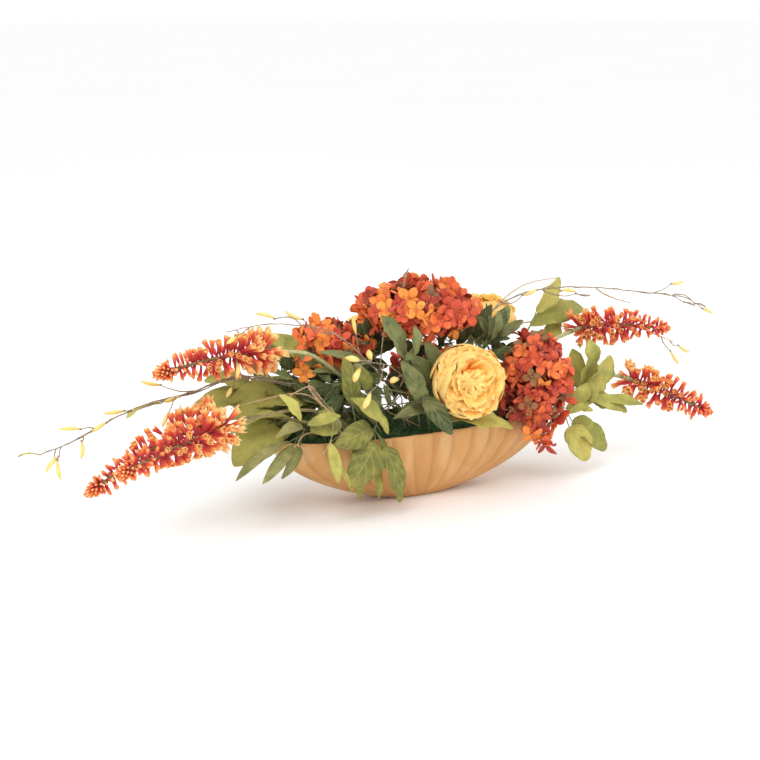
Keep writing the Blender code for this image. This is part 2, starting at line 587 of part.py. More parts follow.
def make_moss(collection):
    """Moss mat: a flat-topped pad with an uneven, rounded edge."""
    bm = bmesh.new()
    level = (FOAM_TOP - FILL_CLEARANCE) / BOWL_HEIGHT
    low = fill_ring(bm, level, FOAM_TOP + FILL_GAP, MOSS_SIDES)
    edge = fill_ring(bm, level, FOAM_TOP + MOSS_EDGE, MOSS_SIDES)
    top = []
    for i, vert in enumerate(edge):
        share = MOSS_TOP_SHARE + MOSS_UNEVEN * math.sin(GOLDEN_ANGLE * i)
        top.append(bm.verts.new((vert.co.x * share, vert.co.y * share, MOSS_TOP)))
    bridge(bm, low, edge)
    bridge(bm, edge, top)
    bm.faces.new(low)
    bm.faces.new(top)
    return object_from(bm, "moss", collection)


def cut_holes(body, holes, collection, material):
    """Cut a plain round hole along the straight start of every stem."""
    cutters = []
    for start, top, radius in holes:
        axis = (top - start).normalized()
        reach = (radius + HOLE_CLEARANCE) / math.cos(math.pi / HOLE_SIDES)
        cutters.append(cone(body.name + "_hole", start - axis * HOLE_CLEARANCE, top + axis * HOLE_OVERRUN,
                            reach, reach, HOLE_SIDES, collection))
    cutter_set = bpy.data.collections.new(body.name + "_holes")
    bpy.context.scene.collection.children.link(cutter_set)
    for cutter in cutters:
        collection.objects.unlink(cutter)
        cutter_set.objects.link(cutter)
    cut = body.modifiers.new("holes", "BOOLEAN")
    cut.operation = "DIFFERENCE"
    cut.operand_type = "COLLECTION"
    cut.collection = cutter_set
    cut.solver = "EXACT"
    mesh = mesh_of(body)
    name = body.name
    for item in cutters + [body]:
        bpy.data.objects.remove(item)
    bpy.data.collections.remove(cutter_set)
    mesh.materials.clear()
    mesh.materials.append(material)
    made = bpy.data.objects.new(name, mesh)
    collection.objects.link(made)
    return made


# ---- leaves ---------------------------------------------------------------------------------------
# Half width along the blade as (share of the length, share of the half width)
LEAF_SHAPES = {
    "wide": ((0.17, 0.76), (0.48, 1.0), (0.80, 0.58)),
    "narrow": ((0.28, 0.88), (0.66, 0.80)),
}


def leaf(stalk_start, root, tip, width, up, collection):
    """A folded, waved blade on its stalk, as one closed loft of four-cornered rings."""
    along = tip - root
    length = along.length
    top = across(along.normalized(), up)
    shape = LEAF_SHAPES["narrow" if width < NARROW_BELOW * length else "wide"]
    rings = [(stalk_start, STALK_RADIUS, 2 * STALK_RADIUS, 0.0, 0.0),
             (root, STALK_RADIUS, 2 * STALK_RADIUS, 0.0, 0.0)]
    for i, (share, spread) in enumerate(shape):
        centre = root + along * share + top * (LEAF_ARCH * length * 4 * share * (1 - share))
        rings.append((centre, width / 2 * spread, BLADE_THICKNESS, LEAF_FOLD, LEAF_WAVE * (-1) ** i))
    centres = [ring[0] for ring in rings] + [tip]
    bm = bmesh.new()
    made = []
    for i, (centre, half, thick, fold, wave) in enumerate(rings):
        ahead = (centres[i + 1] - centres[max(i - 1, 0)]).normalized()
        over = across(ahead, top)
        side = ahead.cross(over)
        made.append((bm.verts.new(centre + side * half + over * half * (fold + wave)),
                     bm.verts.new(centre + over * thick / 2),
                     bm.verts.new(centre - side * half + over * half * (fold - wave)),
                     bm.verts.new(centre - over * thick / 2)))
    for (l0, t0, r0, b0), (l1, t1, r1, b1) in zip(made, made[1:]):
        for corner in ((l0, t0, t1), (l0, t1, l1), (r0, t1, t0), (r0, r1, t1),
                       (r0, b0, b1), (r0, b1, r1), (l0, b1, b0), (l0, l1, b1)):
            bm.faces.new(corner)
    point = bm.verts.new(tip)
    last = made[-1]
    for i in range(4):
        bm.faces.new((last[i], last[(i + 1) % 4], point))
    bm.faces.new(made[0])
    return object_from(bm, "leaf", collection)


def place_along(path, share):
    """The place a share of the way along a path, counted in its points."""
    spot = share * (len(path) - 1)
    i = min(int(spot), len(path) - 2)
    return path[i].lerp(path[i + 1], spot - i)


def add_leaves(path, leaves, collection):
    """Leaves of one stem; 'at' is the share of the stem's path where a stalk starts."""
    pieces = []
    for i, spec in enumerate(leaves):
        start = place_along(path, spec["at"])
        pieces.append(leaf(start, vec(spec["root"]), vec(spec["tip"]), spec["width"] * MM,
                           Vector(spec.get("up", (0, 0, 1))), collection))
    return pieces


def make_leafy_stem(name, spec, collection, materials):
    path = smooth_path([vec(p) for p in spec["stem"]], steps=2)
    radius = spec["radius"] * MM
    stem = tube(name, path, (radius, radius), 4, collection)
    pieces = [stem] + add_leaves(path, spec["leaves"], collection)
    return fuse(name, pieces, collection, materials[spec["colour"]])


def make_stem(name, spec, collection, material):
    """A bare flower stem; returns its last place and its direction there."""
    path = smooth_path([vec(p) for p in spec["stem"]], steps=2)
    radius = spec["radius"] * MM
    stem = tube(name, path, (radius, radius), STEM_SIDES, collection)
    stem.data.materials.append(material)
    return path[-1], (path[-1] - path[-2]).normalized()


def neck(end, direction, goal, radius, collection):
    """The neck of a flower head, from just past its stem's end into the head."""
    start = end + direction * SEAT_GAP
    bend = start + direction * NECK_RISE
    return tube("neck", [start, bend, goal], (radius, radius * NECK_TAPER), STEM_SIDES, collection)


# ---- hydrangea ---------------------------------------------------------------------------------------
# One petal's share of a floret's outline as (turn, reach, lift): two outer corners and a valley
FLORET_OUTLINE = ((-0.34, 1.0, 0.06), (0.34, 1.0, 0.16), (math.pi / 4, 0.52, -0.02))
FLORET_HEART_DEPTH = 0.05
FLORET_COLLAR_DEPTH = 0.26


def hydrangea_floret(centre, root, spin, size, collection):
    """A four-petalled floret, dished in front, on a three-sided stalk that ends at root."""
    normal = (centre - root).normalized()
    u = normal.orthogonal().normalized()
    v = normal.cross(u)
    bm = bmesh.new()
    rim = []
    for petal in range(4):
        middle = spin + petal * math.pi / 2
        for turn, reach, lift in FLORET_OUTLINE:
            angle = middle + turn
            rim.append(bm.verts.new(centre + (u * math.cos(angle) + v * math.sin(angle)) * size * reach
                                    + normal * size * lift))
    heart = bm.verts.new(centre - normal * size * FLORET_HEART_DEPTH)
    collar, foot = [], []
    for i in range(3):
        angle = spin + i * 2 * math.pi / 3
        out = u * math.cos(angle) + v * math.sin(angle)
        collar.append(bm.verts.new(centre - normal * size * FLORET_COLLAR_DEPTH
                                   + out * FLORET_COLLAR_RADIUS))
        foot.append(bm.verts.new(root + out * FLORET_STALK_RADIUS))
    count = len(rim)
    owner = [(3 * i + count // 2) // count % 3 for i in range(count)]
    for i in range(count):
        j = (i + 1) % count
        bm.faces.new((rim[i], rim[j], heart))
        bm.faces.new((rim[j], rim[i], collar[owner[i]]))
        if owner[i] != owner[j]:
            bm.faces.new((rim[j], collar[owner[i]], collar[owner[j]]))
    for i in range(3):
        j = (i + 1) % 3
        bm.faces.new((collar[i], foot[i], foot[j]))
        bm.faces.new((collar[i], foot[j], collar[j]))
    bm.faces.new(foot)
    return object_from(bm, "floret", collection)


def sphere_directions(count):
    """Directions spread evenly over a sphere on a golden-angle spiral."""
    for i in range(count):
        z = 1 - (2 * i + 1) / count
        flat = math.sqrt(1 - z * z)
        yield Vector((flat * math.cos(GOLDEN_ANGLE * i), flat * math.sin(GOLDEN_ANGLE * i), z))


def clear_of_bowl(spot, margin):
    """True above the rim, or outside the rim's outline, with a margin."""
    if spot.z - margin > BOWL_HEIGHT:
        return True
    x = abs(spot.x) / (BOWL_HALF_LENGTH + margin)
    y = abs(spot.y) / (BOWL_HALF_WIDTH + margin)
    return x ** BOWL_OVAL_POWER + y ** BOWL_OVAL_POWER > 1.0


def clear_of_heads(spot, heads, margin):
    """True outside every other head, each given as its centre and half sizes."""
    for centre, half in heads:
        away = spot - centre
        if sum((away[k] / (half[k] + margin)) ** 2 for k in range(3)) < 1.0:
            return False
    return True


def make_hydrangea_head(name, spec, end, direction, others, collection, material):
    """A dense head: a small core, a neck, and florets that stand out of the core on stalks."""
    draw = random.Random(spec["seed"])
    centre = vec(spec["centre"])
    half = vec(spec["half"])
    bm = bmesh.new()
    size = Matrix.Diagonal((*(half * HEAD_CORE_SHARE), 1.0))
    bmesh.ops.create_icosphere(bm, subdivisions=1, radius=1.0, matrix=Matrix.Translation(centre) @ size)
    pieces = [object_from(bm, name, collection)]
    pieces.append(neck(end, direction, centre, spec["radius"] * MM, collection))
    to_stem = (end - centre).normalized()
    for out in sphere_directions(spec["florets"]):
        reach = Vector((out.x * half.x, out.y * half.y, out.z * half.z))
        reach *= draw.uniform(*HEAD_UNEVEN)
        if reach.normalized().dot(to_stem) > STEM_OPENING:
            continue
        spot = centre + reach
        if not (clear_of_bowl(spot, FLORET_MARGIN) and clear_of_heads(spot, others, FLORET_MARGIN)):
            continue
        root = centre + reach * FLORET_ROOT_SHARE
        pieces.append(hydrangea_floret(spot, root, draw.uniform(0, math.pi / 2),
                                       FLORET_RADIUS * (1 + draw.uniform(-FLORET_SIZE_SPREAD, FLORET_SIZE_SPREAD)),
                                       collection))
    return fuse(name, pieces, collection, material)


# ---- peony ---------------------------------------------------------------------------------------------
def peony_petal(place, turn, angle, spread, profile, columns, collection, draw):
    """A cupped petal: rows of its profile (out, up) swept round the flower's axis."""
    bm = bmesh.new()
    rows = []
    for j, (out, up) in enumerate(profile):
        share = j / (len(profile) - 1)
        half_angle = spread * PETAL_ROW_SPREADS[j]
        row = []
        for i in range(columns):
            side = i / (columns - 1) * 2 - 1
            rounded = 1.0 - PETAL_ROUNDING * side * side * share
            reach = out + PETAL_TILT * side + PETAL_WAVE * share * draw.uniform(-1, 1)
            a = angle + side * half_angle
            here = Vector((reach * math.cos(a), reach * math.sin(a), up * rounded))
            away = Vector((math.cos(a), math.sin(a), PETAL_FACE_SLOPE)).normalized() * PETAL_THICKNESS / 2
            on_rim = i in (0, columns - 1) or j == len(profile) - 1
            if on_rim:
                vert = bm.verts.new(place + turn @ here)
                row.append((vert, vert))
            else:
                row.append((bm.verts.new(place + turn @ (here - away)),
                            bm.verts.new(place + turn @ (here + away))))
        rows.append(row)
    for low, high in zip(rows, rows[1:]):
        for i in range(columns - 1):
            for face in (0, 1):
                a, b, c, d = low[i][face], low[i + 1][face], high[i + 1][face], high[i][face]
                corners = ((a, b, d), (b, c, d)) if i == 0 else ((a, b, c), (a, c, d))
                for corner in corners:
                    bm.faces.new(corner if face else tuple(reversed(corner)))
    front = [pair[0] for pair in rows[0]]
    back = [pair[1] for pair in rows[0]]
    bottom = front + [vert for vert in reversed(back) if vert not in front]
    bm.faces.new(bottom)
    return object_from(bm, "petal", collection)


# Outer radius, rise and heart of a peony as shares of its radius
PEONY_OUTER, PEONY_INNER = 0.98, 0.18
PEONY_RISE, PEONY_DOME = 0.42, 0.34
PEONY_CORE = (0.36, 0.36, 0.30)
PEONY_CORE_DEPTH = 0.22
PEONY_UNEVEN = 0.06             # how far petals stand off an even spacing, radians
HEART_PETALS_FROM = 0.7         # layers past this share of the way in are short heart petals
HEART_PETAL_SPREAD = 0.85


def peony_profile(share):
    """Petal rows as (out, up) from root to rim; share is 0 in the outermost layer and 1 in the heart."""
    r = PEONY_RADIUS
    out = r * (PEONY_OUTER + (PEONY_INNER - PEONY_OUTER) * share)
    rise = r * (PEONY_RISE + PEONY_DOME * math.sin(0.62 * math.pi * share))
    if share > HEART_PETALS_FROM:
        return [(0.05 * r, -0.30 * r), (0.8 * out, 0.35 * rise), (out, rise)]
    return [(0.10 * r, -0.42 * r), (0.78 * out, -0.18 * r + 0.25 * rise * share),
            (out, 0.45 * rise), ((0.96 - 0.06 * share) * out, rise)]


def make_peony_head(name, spec, end, direction, collection, material):
    """A full double flower: layers of cupped petals round a small heart."""
    draw = random.Random(spec["seed"])
    centre = vec(spec["centre"])
    turn = Vector(spec["facing"]).normalized().to_track_quat("Z", "Y").to_matrix()
    bm = bmesh.new()
    r = PEONY_RADIUS
    size = Matrix.Diagonal((*(Vector(PEONY_CORE) * r), 1.0))
    core_place = centre - turn @ Vector((0, 0, r * PEONY_CORE_DEPTH))
    bmesh.ops.create_icosphere(bm, subdivisions=1, radius=1.0,
                               matrix=Matrix.Translation(core_place) @ turn.to_4x4() @ size)
    pieces = [object_from(bm, name, collection)]
    pieces.append(neck(end, direction, core_place, spec["radius"] * MM, collection))
    layers = spec["layers"]
    for layer, count in enumerate(layers):
        share = layer / (len(layers) - 1)
        profile = peony_profile(share)
        spread = math.pi / count * (HEART_PETAL_SPREAD if share == 1 else PETAL_LAP)
        columns = 4 if layer == 0 else 3
        for i in range(count):
            angle = 2 * math.pi * (i + 0.5 * (layer % 2)) / count + draw.uniform(-PEONY_UNEVEN, PEONY_UNEVEN)
            pieces.append(peony_petal(centre, turn, angle, spread, profile, columns, collection, draw))
    return fuse(name, pieces, collection, material)


# ---- torch lily ------------------------------------------------------------------------------------------
# How a spike's florets change from its base to its tip, as (share of the spike, value)
FLORET_LEAN = ((0.0, 128), (0.45, 96), (0.85, 76), (1.0, 38))      # degrees from the spike's axis
FLORET_LENGTH_SHARE = ((0.0, 1.0), (0.5, 0.64), (0.85, 0.45), (1.0, 0.34))
FLORET_LENGTH_SPREAD = 0.07


def between(table, share):
    """The value of a table of (share, value) rows at a share, on straight lines between rows."""
    for (s0, v0), (s1, v1) in zip(table, table[1:]):
        if share <= s1:
            return v0 + (v1 - v0) * (share - s0) / (s1 - s0)
    return table[-1][1]


def make_torch_lily(name, spec, end, direction, collection, material):
    """A spike of tubular florets: buds close to the tip, long ones that lean back at the base."""
    draw = random.Random(spec["seed"])
    tip = vec(spec["tip"])
    base = end + direction * SEAT_GAP
    bend = base + direction * (tip - base).length * SPIKE_BEND

    def spine(t):
        return base * (1 - t) ** 2 + bend * 2 * t * (1 - t) + tip * t * t

    path = [spine(i / (SPIKE_POINTS - 1)) for i in range(SPIKE_POINTS)]
    pieces = [tube(name, path, (SPIKE_RADIUS, SPIKE_RADIUS * SPIKE_TAPER), 4, collection)]
    count = spec["florets"]
    for i in range(count):
        share = (i + 1) / (count + 1)
        axis = ((bend - base) * (1 - share) + (tip - bend) * share).normalized()
        u = axis.orthogonal().normalized()
        out = u * math.cos(GOLDEN_ANGLE * i) + axis.cross(u) * math.sin(GOLDEN_ANGLE * i)
        lean = math.radians(between(FLORET_LEAN, share))
        length = TUBE_FLORET_LENGTH * between(FLORET_LENGTH_SHARE, share)
        length *= 1 + draw.uniform(-FLORET_LENGTH_SPREAD, FLORET_LENGTH_SPREAD)
        mouth = between(((0.0, TUBE_FLORET_MOUTH), (1.0, TIP_FLORET_MOUTH)), share)
        root = spine(share)
        goal = root + (axis * math.cos(lean) + out * math.sin(lean)) * length
        pieces.append(cone("floret", root, goal, TUBE_FLORET_ROOT, mouth, 3, collection))
    return fuse(name, pieces, collection, material)


# ---- pod twigs ---------------------------------------------------------------------------------------------
def pod_twig(foot, tip, collection):
    """A side twig that swells into a slim pod at its end."""
    along = tip - foot
    share = min(POD_LENGTH / along.length, LONGEST_POD_SHARE)
    path = [foot, foot + along * (1 - share), foot + along * (1 - share * (1 - POD_BELLY)), tip]
    return tube("pod", path, (TWIG_RADIUS, TWIG_RADIUS, POD_RADIUS, TWIG_RADIUS / 2), 4, collection)


def make_spray(name, spec, collection, material):
    path = smooth_path([vec(p) for p in spec["stem"]], steps=1)
    radius = spec["radius"] * MM
    pieces = [tube(name, path, (radius, radius * TWIG_TAPER), 4, collection)]
    pieces += add_leaves(path, spec["leaves"], collection)
    for start, tip in spec["pods"]:
        nearest = min(path, key=lambda place: (place - vec(start)).length)
        pieces.append(pod_twig(nearest, vec(tip), collection))
    return fuse(name, pieces, collection, material)


# ---- assembly --------------------------------------------------------------------------------------------
def main():
    clear_scene()
    collection = bpy.data.collections.new("floral_centerpiece")
    bpy.context.scene.collection.children.link(collection)
    materials = make_materials()
    holes = []

    make_bowl(collection, materials["bowl"])
    heads = [(vec(spec["centre"]), Vector((1, 1, 1)) * PEONY_RADIUS) for spec in PEONIES.values()]
    for name, spec in HYDRANGEAS.items():
        end, direction = make_stem(name + "_stem", spec, collection, materials["stem"])
        make_hydrangea_head(name + "_head", spec, end, direction, heads, collection,
                            materials["hydrangea"])
        heads.append((vec(spec["centre"]), vec(spec["half"])))
    for name, spec in PEONIES.items():
        end, direction = make_stem(name + "_stem", spec, collection, materials["stem"])
        make_peony_head(name + "_head", spec, end, direction, collection, materials["peony"])
    for name, spec in TORCH_LILIES.items():
        end, direction = make_stem(name + "_stem", spec, collection, materials["stem"])
        make_torch_lily(name + "_spike", spec, end, direction, collection, materials["torch_lily"])
    for name, spec in SPRAYS.items():
        make_spray(name, spec, collection, materials["twig"])
    for name, spec in LEAFY_STEMS.items():
        make_leafy_stem(name, spec, collection, materials)

    for group in (HYDRANGEAS, PEONIES, TORCH_LILIES, SPRAYS, LEAFY_STEMS):
        for spec in group.values():
            start, top = vec(spec["stem"][0]), vec(spec["stem"][1])
            holes.append((start, top, spec["radius"] * MM))
    cut_holes(make_foam(collection), holes, collection, materials["foam"])
    cut_holes(make_moss(collection), holes, collection, materials["moss"])


main()
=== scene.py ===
"""Looks of the floral table centerpiece: fine petals, leaves, twigs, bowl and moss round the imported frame.

Metres, +Z up, in the frame's own coordinates; -Y is the front of the arrangement. Places and sizes in
the layout are in millimetres and pass through vec() or MM. Every sheet and tube carries a point
attribute named "paint" - how far along, how far across, and a tone of its own - which the materials read.
"""
import math

import bpy
import numpy as np
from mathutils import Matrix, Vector


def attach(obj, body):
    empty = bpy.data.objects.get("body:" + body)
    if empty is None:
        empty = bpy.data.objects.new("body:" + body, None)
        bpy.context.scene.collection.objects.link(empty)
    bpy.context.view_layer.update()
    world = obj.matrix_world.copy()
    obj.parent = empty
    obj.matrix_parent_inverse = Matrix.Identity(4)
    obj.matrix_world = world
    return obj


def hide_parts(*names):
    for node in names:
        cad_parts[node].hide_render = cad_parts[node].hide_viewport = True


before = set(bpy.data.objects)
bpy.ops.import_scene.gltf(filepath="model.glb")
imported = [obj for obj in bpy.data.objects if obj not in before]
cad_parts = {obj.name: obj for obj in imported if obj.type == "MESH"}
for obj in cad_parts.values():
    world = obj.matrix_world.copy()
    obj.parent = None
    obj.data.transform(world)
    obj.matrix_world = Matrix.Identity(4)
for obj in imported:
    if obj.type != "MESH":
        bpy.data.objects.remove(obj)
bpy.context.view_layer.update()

MM = 0.001

# ---- view and light, metres ----
CAMERA_PLACE = (-1.148, -1.894, 0.644)
CAMERA_TARGET = (-0.035, 0.034, 0.151)
CAMERA_LENS = 80.0
FLOOR_HALF = 60.0
# name, place, size, power in watts
LAMPS = (("key_light", (-1.5, -1.6, 2.3), 1.6, 30.0),
         ("fill_light", (1.9, -1.5, 1.5), 1.8, 12.0),
         ("back_light", (0.2, 2.2, 2.0), 1.8, 14.0))

# ---- bowl, foam and moss, metres ----
BOWL_HALF = np.array((0.215, 0.075))            # half length and half width of the rim and of the foot
FOOT_HALF = np.array((0.050, 0.024))
BOWL_HEIGHT = 0.098
BOWL_WALL = 0.003
BOWL_OVAL_POWER = 2.3
BOWL_SWELL_POWER = 1.2
BOWL_FLUTES = 32
BOWL_POINTS_A_FLUTE = 12
BOWL_ROWS = 30
BOWL_LIP_ROWS = 6
LIP_RISE = 0.0006
OVAL_SAMPLES = 8000
FLUTE_DEPTH = 0.0026
FLUTE_FOOT_SHARE = 0.25                         # how much of that depth is left at the foot
FLUTE_ROUND_SHARE = 0.35                        # the rest of its form is the step below
FLUTE_STEP = ((0.0, 0.0), (0.12, 0.10), (0.80, 1.0), (0.96, 0.92), (1.0, 0.0))
FOAM_TOP = 0.082
FILL_CLEARANCE = 0.0062                         # from the bowl's outside to its filling
MOSS_TOP = 0.0905
MOSS_ROWS = 16
MOSS_SIDES = 96
MOSS_LUMPS = 0.0040
MOSS_TUFTS = 490
MOSS_TUFT_SPREAD = 0.0026
MOSS_FIBRES = 6                                 # to a tuft
MOSS_FIBRE_LENGTH = 0.0125
MOSS_LENGTH_SPREAD = (0.5, 1.15)
MOSS_FOOT = MOSS_TOP + 0.0015                   # height at which the fibres start
MOSS_REACH = 0.97                               # how far out tufts stand, as a share of the mat
MOSS_LEAN = 0.8                                 # spread of the fibres' slopes, and of their curl
MOSS_FIBRE = (0.00050, 0.00015)                 # radii at its root and its tip

# ---- flowers, metres ----
NECK_RISE = 0.006                               # least way from a stem's end to its neck's bend
HYDRANGEA_PETAL = 0.0158
HEAD_INSET = np.array((0.007, 0.007, 0.014))    # of the florets' centres in a head's half sizes
PEONY_RADIUS = 0.0505
PEONY_CROWD = 58                                # petals in the middle
PEONY_SEPALS = 5
SPIKE_RADIUS = 0.0030
SPIKE_BEND = 0.26                               # way from a spike's foot to its bend, as a share
TUBE_FLORET_LENGTH = 0.030
PETAL_THICKNESS = 0.0004
LEAF_THICKNESS = 0.0005
GOLDEN_ANGLE = math.pi * (3 - math.sqrt(5))

# ---- layout, millimetres ----
# Every stem starts with two points in its straight hole; the rest is a smooth curve.
def leaf(at, root, tip, width, up=(0, 0, 1), **more):
    """A leaf: its share of the way along its stem, its two ends, its width and where its top faces."""
    return dict(more, at=at, root=root, tip=tip, width=width, up=up)


# Tones of hydrangea florets: share of the florets, lowest and highest tone of their band
RUST = ((3, 0.05, 0.25), (6, 0.26, 0.50), (3, 0.50, 0.66), (2, 0.68, 0.75), (0.7, 0.94, 1.0))
RUST_DARK = ((5, 0.05, 0.25), (6, 0.24, 0.46), (3, 0.48, 0.64), (1.5, 0.68, 0.75), (1.6, 0.94, 1.0))
ORANGE = ((3, 0.08, 0.28), (5, 0.28, 0.48), (4, 0.50, 0.66), (1.6, 0.68, 0.75), (0.8, 0.94, 1.0))

# Rings of guard petals: count, reach and rise as shares of the radius, curl of the rim, overlap
PEONY_GUARDS = ((6, 0.95, 0.28, 0.02, 1.45), (5, 0.92, 0.50, 0.14, 1.45), (5, 0.88, 0.66, 0.28, 1.30))

# half: half sizes of the head; depth: how deep the outer florets may sit; petal: their relative size;
# drops: florets that hang below the head
HYDRANGEAS = {
    "hydrangea_top": dict(
        centre=(2, 0, 251), half=(84, 84, 46), blooms=124, tones=RUST, seed=3, radius=3.0,
        stem=[(2, 6, 40), (2, 4, 100), (3, 2, 150), (2, 0, 212)]),
    "hydrangea_left": dict(
        centre=(-110, 36, 205), half=(58, 55, 41), blooms=72, tones=ORANGE, seed=5, radius=2.6,
        drops=[(-172, 2, 203), (-150, 0, 184), (-166, 0, 181)],
        stem=[(-36, 8, 50), (-42, 12, 100), (-76, 26, 138), (-100, 33, 170)]),
    "hydrangea_right": dict(
        centre=(148, -62, 142), half=(58, 50, 86), blooms=118, tones=RUST_DARK, depth=0.8, petal=0.88,
        seed=8, radius=2.6,
        drops=[(122, -101, 86), (136, -100, 74), (147, -98, 69), (150, -96, 83), (130, -102, 92)],
        stem=[(66, -10, 50), (72, -14, 100), (94, -26, 126), (118, -42, 139)]),
    "hydrangea_back": dict(
        centre=(75, 94, 142), half=(56, 50, 46), blooms=54, tones=RUST_DARK, seed=11, radius=2.6,
        stem=[(42, 22, 50), (48, 30, 100), (60, 56, 118), (70, 76, 127)]),
}

# facing: the way the flower looks; wrap: the side that the guard petals wrap
PEONIES = {
    "peony_front": dict(
        centre=(24, -90, 167), facing=(-0.26, -0.94, 0.21), wrap=(-0.8, 0.1, 0.5), seed=9, radius=2.4,
        stem=[(14, -18, 50), (18, -24, 100), (38, -36, 136), (34, -55, 158)]),
    "peony_left": dict(
        centre=(-27, 102, 189), facing=(-0.35, 0.5, 0.75), wrap=(-0.8, 0.3, 0.3), seed=4, radius=2.6,
        stem=[(-24, 28, 50), (-28, 34, 100), (-28, 64, 130), (-24, 84, 158)]),
    "peony_right": dict(
        centre=(168, 92, 203), facing=(0.3, 0.35, 0.8), wrap=(0.8, 0.3, 0.3), seed=6, radius=2.6,
        stem=[(82, 24, 50), (90, 30, 100), (128, 60, 132), (156, 80, 172)]),
}

# tip: end of the spike, whose base is the last stem point; bare: share without florets; base, girth:
# relative length of the florets at the base and in the outer half; warmth: shift of their tone
TORCH_LILIES = {
    "torch_lily_left_high": dict(
        tip=(-392, -54, 215), blooms=116, warmth=0.0, bare=0.08, girth=1.05, base=0.85, seed=1,
        radius=2.5,
        stem=[(-52, 2, 48), (-62, 0, 100), (-110, -16, 162), (-171, -28, 210), (-232, -31, 222)]),
    "torch_lily_left_low": dict(
        tip=(-500, -100, 95), blooms=116, warmth=-0.03, bare=0.12, girth=1.0, base=0.9, seed=2,
        radius=1.9, skin="stem_olive",
        stem=[(-112, -12, 60), (-136, -16, 100), (-190, -24, 126), (-245, -32, 140), (-314, -42, 145)]),
    "torch_lily_left_front": dict(
        tip=(-490, -176, 134), blooms=116, warmth=-0.03, bare=0.1, girth=1.02, base=0.88, seed=3,
        radius=1.9, skin="stem_olive",
        stem=[(-96, -30, 56), (-114, -36, 100), (-160, -58, 137), (-235, -88, 158), (-326, -112, 155)]),
    "torch_lily_right_high": dict(
        tip=(480, 60, 169), blooms=104, warmth=-0.1, bare=0.16, girth=1.1, base=0.66, seed=4, radius=2.8,
        stem=[(98, 8, 50), (110, 10, 100), (166, 12, 142), (226, 20, 176), (278, 30, 188)]),
    "torch_lily_right_low": dict(
        tip=(498, -20, 55), blooms=104, warmth=-0.06, bare=0.18, girth=1.2, base=0.84, seed=5, radius=2.8,
        stem=[(118, 0, 52), (132, 2, 100), (206, 4, 124), (288, 4, 135), (348, 0, 120)]),
}

